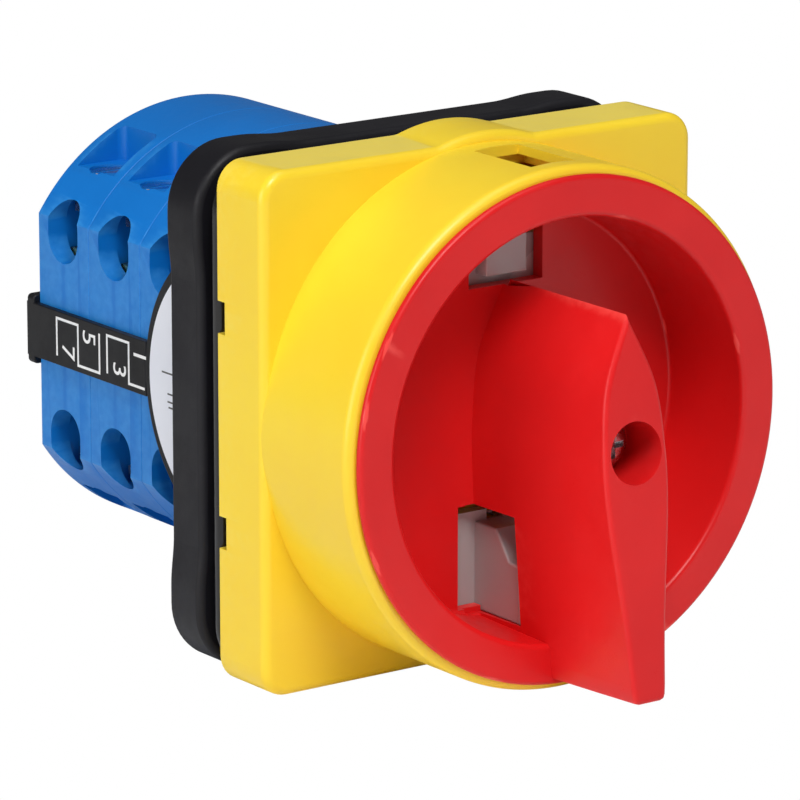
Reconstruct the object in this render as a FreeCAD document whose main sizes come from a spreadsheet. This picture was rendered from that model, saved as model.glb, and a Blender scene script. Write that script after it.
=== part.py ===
import FreeCAD, Part
import Sketcher
import math
import os
import re

# Padlockable rotary isolator switch, in millimetres.
# The operating shaft lies along Y.  The handle faces -Y, +Z is up, and Y = 0 is the
# panel side of the mounting plate, so everything behind the panel has a positive Y.

SIZES = (
    # mounting plate, cover gasket and yellow cover
    ("cover_width", 64.0),
    ("base_overhang", 0.3),
    ("base_corner", 8.0),
    ("base_thickness", 6.5),
    ("neck_inset", 2.2),
    ("groove_width", 1.9),
    ("gasket_inset", 0.3),
    ("gasket_corner", 6.5),
    ("gasket_thickness", 1.9),
    ("spigot_height", 5.2),
    ("boss_wall", 2.65),
    ("boss_rise", 5.0),
    ("hole_spacing", 48.0),
    ("hole_radius", 2.5),
    ("counterbore_radius", 4.6),
    ("hole_seat", 5.5),
    ("cover_corner", 3.5),
    ("cover_thickness", 9.5),
    ("cover_wall", 2.4),
    ("cover_skin", 2.5),
    ("cover_edge", 0.8),
    ("bump_radius", 21.5),
    ("bump_height", 1.15),
    ("bump_offset", 1.0),
    ("notch_height", 4.0),
    ("notch_depth", 1.6),
    ("notch_level", 13.2),
    ("collar_inset", 0.1),
    ("collar_wall", 2.3),
    ("collar_height", 16.8),
    ("window_width", 6.6),
    ("window_sill", 2.7),
    ("window_length", 11.3),
    # handle
    ("ring_inset", 1.0),
    ("ring_width", 5.0),
    ("ring_proud", 1.2),
    ("flange_thickness", 0.9),
    ("skirt_gap", 0.4),
    ("cup_wall", 3.9),
    ("cup_depth", 13.3),
    ("floor_thickness", 1.8),
    ("lever_half", 4.9),
    ("lever_face_half", 4.6),
    ("lever_bow", 16.2),
    ("bow_half", 3.8),
    ("bow_face_half", 3.6),
    ("bow_shoulder", 8.1),
    ("lever_root", 0.5),
    ("lever_neck", 6.5),
    ("lever_waist", 20.0),
    ("waist_half", 4.1),
    ("waist_face_half", 3.0),
    ("tail_inset", 0.5),
    ("tail_margin", 0.2),
    ("tail_land", 3.0),
    ("tail_half", 3.4),
    ("tail_face_half", 2.35),
    ("lever_rise", 12.2),
    ("lever_tilt", 6.4),
    ("lever_blank", 6.0),
    ("hub_radius", 5.8),
    ("hub_length", 8.0),
    ("screw_well_radius", 3.75),
    ("screw_well_depth", 6.6),
    ("screw_hole_radius", 2.2),
    ("lock_cavity_width", 6.4),
    ("lock_cavity_top", 7.5),
    ("lock_window_top", 11.0),
    ("lock_window_rise", 8.0),
    ("lock_opening_half", 7.0),
    ("lock_opening_reach", 24.0),
    ("finger_slot_half", 5.5),
    ("finger_slot_start", 15.5),
    ("wall_skin", 1.7),
    # lock slider
    ("slider_half", 10.0),
    ("slider_thickness", 1.8),
    ("slider_gap", 0.2),
    ("slider_end_gap", 0.5),
    ("slider_top_gap", 2.4),
    ("slider_post", 4.0),
    ("slider_slot_gap", 0.6),
    ("slider_travel", 6.0),
    ("slider_spring_room", 9.7),
    ("tongue_half", 3.0),
    ("tongue_thickness", 1.7),
    ("tongue_rise", 8.0),
    ("tab_height", 6.4),
    ("tab_rise", 7.0),
    ("ramp_step", 1.5),
    ("ramp_length", 3.4),
    ("rail_width", 1.4),
    ("rail_length", 16.0),
    # shaft and screws
    ("shaft_side", 6.0),
    ("shaft_fit", 0.05),
    ("shaft_front", 40.0),
    ("journal_radius", 3.0),
    ("shaft_clearance", 0.357),
    ("shaft_end_gap", 0.3),
    ("journal_end_gap", 0.4),
    ("journal_overlap", 0.6),
    ("handle_screw_radius", 1.95),
    ("handle_screw_head", 2.75),
    ("handle_screw_head_height", 2.1),
    ("handle_screw_length", 13.0),
    ("cross_slot", 0.7),
    ("cross_half", 1.7),
    ("tie_offset", 16.0),
    ("tie_radius", 1.7),
    ("tie_gap", 0.2),
    ("tie_head_radius", 3.1),
    ("tie_head_height", 1.8),
    ("tie_grip", 5.6),
    # drum behind the panel: index housing and contact decks
    ("drum_radius", 27.5),
    ("drum_flat", 46.0),
    ("index_depth", 8.4),
    ("web_thickness", 1.6),
    ("index_bore", 10.0),
    ("wheel_radius", 8.9),
    ("wheel_front_gap", 0.8),
    ("wheel_back_gap", 0.4),
    ("valley_radius", 3.0),
    ("valley_depth", 0.6),
    ("plunger_radius", 2.25),
    ("plunger_gap", 0.1),
    ("plunger_length", 6.0),
    ("plunger_lift", 0.15),
    ("plunger_bore_end", 22.5),
    ("deck_pitch", 11.55),
    ("chamber_back", 9.0),
    ("cam_gap", 1.2),
    ("cam_front_gap", 1.2),
    ("cam_back_gap", 0.6),
    ("chamber_half", 12.0),
    ("chamber_gap", 0.3),
    ("terminal_gap", 0.25),
    ("carrier_slot_top", 19.2),
    ("entry_centre", 5.9),
    ("entry_width", 6.8),
    ("entry_floor_gap", 0.05),
    ("entry_height", 8.0),
    ("entry_wall", 2.8),
    ("pocket_inner", 11.0),
    ("pocket_outer", 24.0),
    ("pocket_roof", 3.3),
    ("pocket_length", 8.2),
    # contacts
    ("cam_wall", 0.587),
    ("cam_lift", 1.3),
    ("follower_gap", 0.2),
    ("carrier_half", 2.4),
    ("carrier_gap", 0.15),
    ("carrier_height", 7.5),
    ("carrier_width", 7.0),
    ("carrier_shift", 0.8),
    ("bridge_half", 10.0),
    ("bridge_seat", 1.5),
    ("bridge_thickness", 0.8),
    ("bridge_width", 5.0),
    ("tip_centre", 8.4),
    ("tip_half", 1.1),
    ("tip_thickness", 0.4),
    ("contact_gap", 1.35),
    ("terminal_inner", 6.8),
    ("terminal_outer", 20.0),
    ("terminal_thickness", 1.2),
    ("terminal_side_gap", 0.4),
    ("clamp_thickness", 1.2),
    ("clamp_side_gap", 0.5),
    ("clamp_inner", 12.6),
    ("clamp_outer", 19.2),
    ("clamp_room", 2.1),
    ("terminal_screw_offset", 15.8),
    ("terminal_screw_radius", 1.6),
    ("terminal_screw_head", 2.4),
    ("terminal_screw_head_height", 1.7),
    ("terminal_screw_sink", 0.2),
    ("terminal_screw_gap", 0.1),
    ("terminal_head_gap", 0.2),
    ("terminal_slot_depth", 0.9),
    # springs
    ("index_spring_radius", 1.7),
    ("index_spring_wire", 0.5),
    ("contact_spring_radius", 1.5),
    ("contact_spring_wire", 0.4),
    ("lock_spring_radius", 0.75),
    ("lock_spring_wire", 0.35),
    ("spring_seat", 0.1),
    # marking strips and the label on the flank
    ("strip_thickness", 0.9),
    ("strip_height", 7.0),
    ("strip_front", 17.6),
    ("hook_height", 9.0),
    ("hook_depth", 1.7),
    ("hook_reach", 3.0),
    ("holder_radius", 18.6),
    ("holder_thickness", 1.0),
    ("holder_centre", -1.1),
    ("holder_front", 0.4),
    ("label_radius", 17.0),
    ("label_thickness", 0.4),
)

NAMES = [name for name, value in SIZES]
DECKS = (1, 2, 3)
CONTACT_DECKS = (2, 3)
QUARTERS = 4
SPRING_TURNS = 6
LOCK_SPRING_TURNS = 7

# Cutters run this far past the faces that they open, in millimetres.
OVERRUN = 1

# Stations along the shaft, as expressions of the sizes.
BASE_FRONT = "(-base_thickness)"
NECK_FRONT = "(-base_thickness - groove_width)"
COVER_BACK = "(-base_thickness - groove_width - gasket_thickness)"
COVER_FRONT = f"({COVER_BACK} - cover_thickness)"
SPIGOT_FRONT = f"({NECK_FRONT} - spigot_height)"
BOSS_FRONT = f"({SPIGOT_FRONT} - boss_rise)"
COLLAR_FRONT = f"({COVER_FRONT} - collar_height)"
RING_FRONT = f"({COLLAR_FRONT} - ring_proud)"
FLANGE_BACK = f"({RING_FRONT} + flange_thickness)"
FLOOR_FRONT = f"({RING_FRONT} + cup_depth)"
FLOOR_BACK = f"({FLOOR_FRONT} + floor_thickness)"
HUB_BACK = f"({FLOOR_BACK} + hub_length)"
LEVER_FRONT = f"({RING_FRONT} - lever_rise)"
WINDOW_BACK = f"({COVER_FRONT} - window_sill)"
WINDOW_FRONT = f"({WINDOW_BACK} - window_length)"
SLIDER_FRONT = f"({FLOOR_BACK} + slider_gap)"
DRUM_BACK = f"(index_depth + {len(DECKS)} * deck_pitch)"

# Sizes across the shaft that follow from a neighbour and a clearance.
BASE_WIDTH = "(cover_width + 2 * base_overhang)"
GASKET_WIDTH = "(cover_width - 2 * gasket_inset)"
SPIGOT_WIDTH = "(cover_width - 2 * cover_wall - 2 * skirt_gap)"
COLLAR_RADIUS = "(cover_width / 2 - collar_inset)"
COLLAR_BORE = f"({COLLAR_RADIUS} - collar_wall)"
SKIRT_RADIUS = f"({COLLAR_BORE} - skirt_gap)"
RING_RADIUS = f"({COLLAR_RADIUS} - ring_inset)"
MOUTH_RADIUS = f"({RING_RADIUS} - ring_width)"
FLOOR_RADIUS = f"({SKIRT_RADIUS} - cup_wall)"
LEVER_TAIL = f"({RING_RADIUS} - tail_inset)"
SLIDER_END = f"({FLOOR_RADIUS} - slider_end_gap)"
SLIDER_TOP = f"({SKIRT_RADIUS} - slider_travel - slider_top_gap)"
TONGUE_HIGH = f"({SKIRT_RADIUS} - skirt_gap)"
SOCKET_SIDE = "(shaft_side + 2 * shaft_fit)"
SHAFT_CLEAR = "(shaft_side / sqrt(2) + shaft_clearance)"
CAM_LOW = f"({SOCKET_SIDE} / sqrt(2) + cam_wall)"
CAM_BORE = f"({CAM_LOW} + cam_lift + cam_gap)"
CARRIER_LOW = f"({CAM_LOW} + follower_gap)"
BRIDGE_LOW = f"({CARRIER_LOW} + bridge_seat)"
BRIDGE_HIGH = f"({BRIDGE_LOW} + bridge_thickness)"
TERMINAL_LOW = f"({BRIDGE_HIGH} + 2 * tip_thickness + contact_gap)"
TERMINAL_WIDTH = "(entry_width - 2 * terminal_side_gap)"
CHAMBER_LOW = f"({BRIDGE_LOW} - chamber_gap)"
CHAMBER_HIGH = f"({TERMINAL_LOW} + terminal_thickness + terminal_gap)"
ENTRY_LOW = f"({TERMINAL_LOW} - entry_floor_gap)"
ENTRY_HIGH = f"({ENTRY_LOW} + entry_height)"
CLAMP_LOW = f"({ENTRY_HIGH} - clamp_room)"
CLAMP_WIDTH = "(entry_width - 2 * clamp_side_gap)"
POCKET_FLOOR = f"({ENTRY_HIGH} + pocket_roof)"
SCREW_TOP = f"({POCKET_FLOOR} - terminal_screw_sink)"
SCREW_SEAT = f"({SCREW_TOP} - terminal_screw_head_height)"

doc = FreeCAD.newDocument("RotaryIsolator")
sheet = doc.addObject("Spreadsheet::Sheet", "Sizes")
for row, (size_name, size_value) in enumerate(SIZES, start=1):
    sheet.set(f"A{row}", size_name)
    sheet.set(f"B{row}", str(size_value))
    sheet.setAlias(f"B{row}", size_name)
doc.recompute()

finished = []


def size(name):
    """The number that the sheet holds under a name."""
    return float(sheet.get(name))


def expression(text):
    """Point each size name in an expression at the sheet."""
    return re.sub(r"[a-z_]{3,}", lambda word: "Sizes." + word.group(0) if word.group(0) in NAMES
                  else word.group(0), str(text))


def bind(thing, prop, text):
    thing.setExpression(prop, expression(text))


def minus(text):
    return f"(-1 * ({text}))"


def flip(text, side):
    """The expression itself, or its mirror image for the negative side."""
    return f"({text})" if side > 0 else minus(text)


def keep(thing, label):
    """Name a finished sub-part, so that it is written out."""
    thing.Label = label
    finished.append(thing)
    return thing


# ---- Part primitives, bound to the sheet ----

def block(name, x_span, y_span, z_span):
    thing = doc.addObject("Part::Box", name)
    for prop, axis, (low, high) in (("Length", "x", x_span), ("Width", "y", y_span), ("Height", "z", z_span)):
        bind(thing, prop, f"({high}) - ({low})")
        bind(thing, f"Placement.Base.{axis}", low)
    return thing


def sided(low, high, side):
    """A span given for the positive side, placed on the side asked for."""
    return (low, high) if side > 0 else (minus(high), minus(low))


def mirrored_block(name, side_x, side_z, x_span, y_span, z_span):
    """A block given for the positive side, placed on the side asked for."""
    return block(name, sided(*x_span, side_x), y_span, sided(*z_span, side_z))


def rod(name, direction, radius, span, across=("0", "0")):
    """A cylinder along X, Y or Z; across gives its other two coordinates in X, Y, Z order."""
    turns = {"X": (FreeCAD.Vector(0, 1, 0), 90), "Y": (FreeCAD.Vector(1, 0, 0), -90),
             "Z": (FreeCAD.Vector(0, 0, 1), 0)}
    thing = doc.addObject("Part::Cylinder", name)
    bind(thing, "Radius", radius)
    bind(thing, "Height", f"({span[1]}) - ({span[0]})")
    thing.Placement = FreeCAD.Placement(FreeCAD.Vector(), FreeCAD.Rotation(*turns[direction]))
    bind(thing, f"Placement.Base.{direction.lower()}", span[0])
    for axis, place in zip([a for a in "xyz" if a != direction.lower()], across):
        bind(thing, f"Placement.Base.{axis}", place)
    return thing


def joined(name, things):
    thing = doc.addObject("Part::MultiFuse", name)
    thing.Shapes = things
    return thing


def without(name, base, tools):
    thing = doc.addObject("Part::Cut", name)
    thing.Base = base
    thing.Tool = tools[0] if len(tools) == 1 else joined(name + "_tools", tools)
    return thing


def shared(name, things):
    thing = doc.addObject("Part::MultiCommon", name)
    thing.Shapes = things
    return thing


def solid_group(name, things):
    """Several equal pieces that make one node."""
    thing = doc.addObject("Part::Compound", name)
    thing.Links = things
    return thing


# ---- PartDesign helpers ----

def new_body(name):
    return doc.addObject("PartDesign::Body", name)


def sketch_on(body, name, role, offset):
    """A sketch on an origin plane, moved along the plane's normal."""
    sketch = body.newObject("Sketcher::SketchObject", name)
    plane = [item for item in body.Origin.OriginFeatures if item.Role == role][0]
    sketch.AttachmentSupport = [(plane, "")]
    sketch.MapMode = "FlatFace"
    bind(sketch, "AttachmentOffset.Base.z", offset)
    return sketch


def facing_sketch(body, name, station):
    """A sketch that faces the user (normal -Y), at a station along the shaft."""
    return sketch_on(body, name, "XZ_Plane", minus(station))


def polygon(sketch, points):
    """A closed outline of straight lines, each corner held by two expressions."""
    count = len(points)
    numbers = [FreeCAD.Vector(10 * math.cos(2 * math.pi * i / count), 10 * math.sin(2 * math.pi * i / count), 0)
               for i in range(count)]
    first = sketch.GeometryCount
    for i in range(count):
        sketch.addGeometry(Part.LineSegment(numbers[i], numbers[(i + 1) % count]), False)
    for i in range(count):
        sketch.addConstraint(Sketcher.Constraint("Coincident", first + i, 2, first + (i + 1) % count, 1))
    for i, (across, up) in enumerate(points):
        for kind, text, start in (("DistanceX", across, numbers[i].x), ("DistanceY", up, numbers[i].y)):
            index = sketch.addConstraint(Sketcher.Constraint(kind, first + i, 1, start))
            bind(sketch, f"Constraints[{index}]", text)


def rectangle(sketch, x_span, z_span):
    polygon(sketch, ((x_span[0], z_span[0]), (x_span[1], z_span[0]), (x_span[1], z_span[1]),
                     (x_span[0], z_span[1])))


def square(sketch, width):
    half = f"({width}) / 2"
    rectangle(sketch, (minus(half), half), (minus(half), half))


def circle(sketch, radius, centre=("0", "0")):
    index = sketch.addGeometry(Part.Circle(FreeCAD.Vector(0, 0, 0), FreeCAD.Vector(0, 0, 1), 5), False)
    bind(sketch, f"Constraints[{sketch.addConstraint(Sketcher.Constraint('Radius', index, 5))}]", radius)
    for kind, text in (("DistanceX", centre[0]), ("DistanceY", centre[1])):
        number = sketch.addConstraint(Sketcher.Constraint(kind, index, 3, 0))
        bind(sketch, f"Constraints[{number}]", text)


def feature(body, kind, name, sketch):
    thing = body.newObject(f"PartDesign::{kind}", name)
    thing.Profile = sketch
    sketch.Visibility = False
    return thing


def pad(body, sketch, length, backward=False):
    """Add material from a facing sketch towards the user, or backward to the rear."""
    thing = feature(body, "Pad", sketch.Name + "_pad", sketch)
    bind(thing, "Length", length)
    thing.Reversed = backward
    doc.recompute()
    return thing


def pocket(body, sketch, length, forward=False, midplane=False):
    """Cut from a facing sketch to the rear, or forward to the user."""
    before = body.Shape.Volume
    thing = feature(body, "Pocket", sketch.Name + "_pocket", sketch)
    bind(thing, "Length", length)
    thing.Reversed = forward
    thing.Midplane = midplane
    doc.recompute()
    if body.Shape.Volume >= before - 1e-6:
        raise RuntimeError(f"{thing.Name} cuts nothing")
    return thing


def fillet(body, name, test, radius):
    """Round the edges of the body's tip that pass a test."""
    tip = body.Tip
    picked = [f"Edge{i}" for i, edge in enumerate(tip.Shape.Edges, start=1) if test(edge)]
    if not picked:
        raise RuntimeError(f"{name} finds no edges")
    thing = body.newObject("PartDesign::Fillet", name)
    thing.Base = (tip, picked)
    bind(thing, "Radius", radius)
    doc.recompute()
    return thing


def along_shaft(edge):
    """Straight edges that run along Y."""
    ends = [vertex.Point for vertex in edge.Vertexes]
    return (len(ends) == 2 and edge.Curve.TypeId == "Part::GeomLine"
            and abs(ends[0].x - ends[1].x) < 1e-6 and abs(ends[0].z - ends[1].z) < 1e-6)


def number(text):
    """Work out an expression of the sizes as a number."""
    probe = doc.addObject("App::FeaturePython", "Probe")
    probe.addProperty("App::PropertyFloat", "Reading")
    bind(probe, "Reading", text)
    doc.recompute()
    reading = probe.Reading
    doc.removeObject(probe.Name)
    return reading


def at_station(station):
    """A test for edges that lie in the plane at a station."""
    level = number(station)

    def test(edge):
        box = edge.BoundBox
        return abs(box.YMin - level) < 1e-5 and abs(box.YMax - level) < 1e-5
    return test


# ---- Front: mounting plate, gasket, cover ----

def make_mounting_plate():
    body = new_body("MountingPlate")
    slab = facing_sketch(body, "BaseOutline", "0")
    square(slab, BASE_WIDTH)
    pad(body, slab, "base_thickness")
    fillet(body, "BaseCorners", along_shaft, "base_corner")
    neck = facing_sketch(body, "NeckOutline", BASE_FRONT)
    square(neck, f"{BASE_WIDTH} - 2 * neck_inset")
    pad(body, neck, "groove_width")
    spigot = facing_sketch(body, "SpigotOutline", NECK_FRONT)
    square(spigot, SPIGOT_WIDTH)
    pad(body, spigot, "spigot_height")
    boss = facing_sketch(body, "BossOutline", SPIGOT_FRONT)
    circle(boss, "hub_radius + boss_wall")
    pad(body, boss, "boss_rise")
    shaft_hole = facing_sketch(body, "ShaftHole", BOSS_FRONT)
    circle(shaft_hole, SHAFT_CLEAR)
    pocket(body, shaft_hole, f"-{BOSS_FRONT} + {OVERRUN}")
    hub_bore = facing_sketch(body, "HubBore", BOSS_FRONT)
    circle(hub_bore, "hub_radius + shaft_fit")
    pocket(body, hub_bore, f"{HUB_BACK} - {BOSS_FRONT} + skirt_gap")
    holes = facing_sketch(body, "PanelHoles", SPIGOT_FRONT)
    seats = facing_sketch(body, "PanelHoleSeats", SPIGOT_FRONT)
    for side_x in (-1, 1):
        for side_z in (-1, 1):
            centre = (flip("hole_spacing / 2", side_x), flip("hole_spacing / 2", side_z))
            circle(holes, "hole_radius", centre)
            circle(seats, "counterbore_radius", centre)
    pocket(body, holes, f"-{SPIGOT_FRONT} + {OVERRUN}")
    pocket(body, seats, f"-{SPIGOT_FRONT} - hole_seat")
    ties = facing_sketch(body, "TieHoles", "0")
    for side in (-1, 1):
        circle(ties, "tie_radius + shaft_fit", (flip("tie_offset", side), "0"))
    pocket(body, ties, "tie_grip + tie_gap", forward=True)
    keep(body, "mounting_plate")


def make_front_gasket():
    body = new_body("FrontGasket")
    outline = facing_sketch(body, "GasketOutline", NECK_FRONT)
    square(outline, GASKET_WIDTH)
    pad(body, outline, "gasket_thickness")
    fillet(body, "GasketCorners", along_shaft, "gasket_corner")
    opening = facing_sketch(body, "GasketOpening", NECK_FRONT)
    square(opening, "cover_width - 2 * cover_wall - skirt_gap")
    pocket(body, opening, "gasket_thickness", forward=True)
    keep(body, "front_gasket")


def make_escutcheon():
    body = new_body("Escutcheon")
    plate = facing_sketch(body, "CoverOutline", COVER_BACK)
    square(plate, "cover_width")
    pad(body, plate, "cover_thickness")
    fillet(body, "CoverCorners", along_shaft, "cover_corner")
    fillet(body, "CoverEdge", at_station(COVER_FRONT), "cover_edge")
    for side in (-1, 1):
        bump = facing_sketch(body, f"Bump{side + 1}", COVER_BACK)
        circle(bump, "bump_radius", ("bump_offset", flip("cover_width / 2 + bump_height - bump_radius", side)))
        pad(body, bump, "cover_thickness - cover_edge")
    collar = facing_sketch(body, "CollarOutline", COVER_FRONT + " + cover_edge")
    circle(collar, COLLAR_RADIUS)
    pad(body, collar, "collar_height + cover_edge")
    fillet(body, "CollarLip", at_station(COLLAR_FRONT), "cover_edge / 2")
    bore = facing_sketch(body, "CollarBore", COLLAR_FRONT)
    circle(bore, COLLAR_BORE)
    pocket(body, bore, "collar_height")
    cavity = facing_sketch(body, "CoverCavity", COVER_BACK)
    square(cavity, "cover_width - 2 * cover_wall")
    pocket(body, cavity, "cover_thickness - cover_skin", forward=True)
    hub_hole = facing_sketch(body, "HubOpening", COLLAR_FRONT)
    circle(hub_hole, "hub_radius + boss_wall + skirt_gap")
    pocket(body, hub_hole, f"{COVER_BACK} - {COLLAR_FRONT}")
    window = sketch_on(body, "CollarWindow", "XY_Plane", f"{COLLAR_BORE} - {OVERRUN}")
    rectangle(window, ("-window_width / 2", "window_width / 2"), (WINDOW_FRONT, WINDOW_BACK))
    pocket(body, window, f"collar_wall + 2 * {OVERRUN}", forward=True)
    notches = facing_sketch(body, "PryNotches", COVER_BACK)
    for side_x in (-1, 1):
        for side_z in (-1, 1):
            inner = f"(cover_width / 2 - cover_wall - {OVERRUN})"
            outer = f"(cover_width / 2 + {OVERRUN})"
            low = "(notch_level - notch_height / 2)"
            high = "(notch_level + notch_height / 2)"
            rectangle(notches, sided(inner, outer, side_x), sided(low, high, side_z))
    pocket(body, notches, "notch_depth", forward=True)
    keep(body, "escutcheon")


# ---- Handle and its lock ----

def lever_outline(sketch, bow, half, waist, tail):
    """The lever's outline: a bow, straight flanks, a waist and a narrow tail."""
    right = ((bow, "bow_shoulder"), (half, "0"), (half, "-lever_neck"), (waist, "-lever_waist"),
             (tail, f"-{LEVER_TAIL}"))
    left = [(minus(x), z) for x, z in reversed(right)]
    polygon(sketch, [("0", "lever_bow"), *right, *left])


def make_handle():
    body = new_body("Handle")
    profile = sketch_on(body, "CupProfile", "XY_Plane", "0")
    polygon(profile, (("0", FLOOR_FRONT), ("0", FLOOR_BACK), (SKIRT_RADIUS, FLOOR_BACK),
                      (SKIRT_RADIUS, FLANGE_BACK), (RING_RADIUS, FLANGE_BACK), (RING_RADIUS, RING_FRONT),
                      (MOUTH_RADIUS, RING_FRONT), (FLOOR_RADIUS, FLOOR_FRONT)))
    cup = feature(body, "Revolution", "Cup", profile)
    cup.ReferenceAxis = (profile, ["V_Axis"])
    cup.Angle = 360
    doc.recompute()
    base = facing_sketch(body, "LeverBase", f"{FLOOR_FRONT} + lever_root")
    lever_outline(base, "bow_half", "lever_half", "waist_half", "tail_half")
    face = facing_sketch(body, "LeverFace", f"{LEVER_FRONT} - lever_blank")
    lever_outline(face, "bow_face_half", "lever_face_half", "waist_face_half", "tail_face_half")
    lever = body.newObject("PartDesign::AdditiveLoft", "Lever")
    lever.Profile = base
    lever.Sections = [face]
    lever.Ruled = True
    doc.recompute()
    tilt = sketch_on(body, "LeverTilt", "YZ_Plane", "0")
    high = "(lever_bow + lever_blank)"
    low = f"(-{LEVER_TAIL} - lever_blank)"
    ahead = f"({LEVER_FRONT} - 3 * lever_blank)"
    slope = "tan(lever_tilt * 1deg)"
    polygon(tilt, ((f"{LEVER_FRONT} + {high} * {slope}", high), (f"{LEVER_FRONT} + {low} * {slope}", low),
                   (ahead, low), (ahead, high)))
    pocket(body, tilt, "lever_half * 4", midplane=True)
    trim = sketch_on(body, "TailTrim", "XY_Plane", "0")
    polygon(trim, ((SKIRT_RADIUS, FLANGE_BACK), (SKIRT_RADIUS, HUB_BACK), (f"{LEVER_TAIL} * 2", HUB_BACK),
                   (f"{LEVER_TAIL} * 2", f"{RING_FRONT} - tail_land"),
                   (f"{LEVER_TAIL} + tail_margin", f"{RING_FRONT} - tail_land"), (RING_RADIUS, RING_FRONT),
                   (RING_RADIUS, FLANGE_BACK)))
    groove = feature(body, "Groove", "TailGroove", trim)
    groove.ReferenceAxis = (trim, ["V_Axis"])
    groove.Angle = 360
    doc.recompute()
    hub = facing_sketch(body, "Hub", FLOOR_BACK)
    circle(hub, "hub_radius")
    pad(body, hub, "hub_length", backward=True)
    rails = facing_sketch(body, "Rails", FLOOR_BACK)
    for side in (-1, 1):
        near = "(slider_half + skirt_gap)"
        far = f"({near} + rail_width)"
        rectangle(rails, sided(near, far, side), ("-rail_length / 2", "rail_length / 2"))
    pad(body, rails, "slider_thickness + skirt_gap", backward=True)
    socket = facing_sketch(body, "ShaftSocket", HUB_BACK)
    square(socket, SOCKET_SIDE)
    pocket(body, socket, f"shaft_front + {HUB_BACK}", forward=True)
    shank = facing_sketch(body, "ScrewHole", f"{LEVER_FRONT} - lever_blank")
    circle(shank, "screw_hole_radius")
    pocket(body, shank, f"lever_blank - {LEVER_FRONT} - shaft_front + {OVERRUN}")
    well = facing_sketch(body, "ScrewWell", f"{LEVER_FRONT} - lever_blank")
    circle(well, "screw_well_radius")
    pocket(body, well, "screw_well_depth + lever_blank")
    cavity = facing_sketch(body, "LockCavity", FLOOR_BACK)
    rectangle(cavity, ("-lock_cavity_width / 2", "lock_cavity_width / 2"),
              (f"-{FLOOR_RADIUS}", "-lock_cavity_top"))
    pocket(body, cavity, "floor_thickness + lock_window_rise", forward=True)
    opening = facing_sketch(body, "LockOpening", FLOOR_BACK)
    rectangle(opening, ("-lock_opening_half", "lock_opening_half"), ("-lock_opening_reach", "-lock_window_top"))
    pocket(body, opening, f"floor_thickness + {OVERRUN}", forward=True)
    padlock = sketch_on(body, "PadlockWindow", "YZ_Plane", "0")
    rectangle(padlock, (f"{FLOOR_FRONT} - lock_window_rise", FLOOR_FRONT),
              (f"-{FLOOR_RADIUS}", "-lock_window_top"))
    pocket(body, padlock, f"lever_half * 2 + {OVERRUN}", midplane=True)
    finger = facing_sketch(body, "FingerSlot", FLOOR_BACK)
    rectangle(finger, ("-finger_slot_half", "finger_slot_half"),
              ("finger_slot_start", f"sqrt({FLOOR_RADIUS} ^ 2 - finger_slot_half ^ 2)"))
    pocket(body, finger, "floor_thickness", forward=True)
    arm = facing_sketch(body, "ArmSlot", FLOOR_BACK)
    rectangle(arm, ("-tongue_half - skirt_gap", "tongue_half + skirt_gap"),
              (f"{FLOOR_RADIUS} - 2 * {OVERRUN}", f"{RING_RADIUS} + {OVERRUN}"))
    pocket(body, arm, "slider_thickness + 3 * skirt_gap", forward=True)
    tongue = facing_sketch(body, "TongueSlot", FLOOR_BACK)
    rectangle(tongue, ("-tongue_half - skirt_gap", "tongue_half + skirt_gap"),
              (f"{FLOOR_RADIUS} + wall_skin", f"{RING_RADIUS} + {OVERRUN}"))
    pocket(body, tongue, "tongue_rise + slider_thickness + 3 * skirt_gap", forward=True)
    keep(body, "handle")


def make_lock_slider():
    half = "slider_half"
    back = f"({SLIDER_FRONT} + slider_thickness)"
    frame = block("SliderFrame", (minus(half), half), (SLIDER_FRONT, back), (f"-{SLIDER_END}", SLIDER_TOP))
    slot = block("SliderSlot", ("-hub_radius - slider_slot_gap", "hub_radius + slider_slot_gap"),
                 (f"{SLIDER_FRONT} - {OVERRUN}", f"{back} + {OVERRUN}"),
                 ("-hub_radius - slider_spring_room", "hub_radius + 2 * slider_slot_gap"))
    corner = without("SliderPlate", frame, [slot])
    arm_front = f"({WINDOW_BACK} - skirt_gap - slider_thickness)"
    arm = block("SliderArm", ("-tongue_half", "tongue_half"), (arm_front, f"{WINDOW_BACK} - skirt_gap"),
                (f"{SLIDER_TOP} - slider_post", TONGUE_HIGH))
    post = block("SliderPost", ("-tongue_half", "tongue_half"), (arm_front, back),
                 (f"{SLIDER_TOP} - slider_post", SLIDER_TOP))
    tongue = block("SliderTongue", ("-tongue_half", "tongue_half"), (f"{arm_front} - tongue_rise", arm_front),
                   (f"{TONGUE_HIGH} - tongue_thickness", TONGUE_HIGH))
    tab = block("SliderTab", ("-tongue_half", "tongue_half"), (f"{FLOOR_FRONT} - tab_rise", SLIDER_FRONT),
                (f"-{SLIDER_END}", f"-{SLIDER_END} + tab_height"))
    ramp = doc.addObject("Part::Wedge", "SliderRamp")
    ramp.Placement = FreeCAD.Placement(FreeCAD.Vector(), FreeCAD.Rotation(FreeCAD.Vector(1, 0, 0), 180))
    foot = f"({SLIDER_END} - tab_height)"
    for prop, text in (("Xmin", "-tongue_half"), ("Xmax", "tongue_half"), ("X2min", "-tongue_half"),
                       ("X2max", "tongue_half"), ("Ymin", minus(SLIDER_FRONT)),
                       ("Ymax", f"-{FLOOR_FRONT} + tab_rise - ramp_step"), ("Zmin", f"{foot} - ramp_length"),
                       ("Zmax", foot), ("Z2min", foot), ("Z2max", foot)):
        bind(ramp, prop, text)
    keep(joined("LockSlider", [corner, arm, post, tongue, tab, ramp]), "lock_slider")


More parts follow.
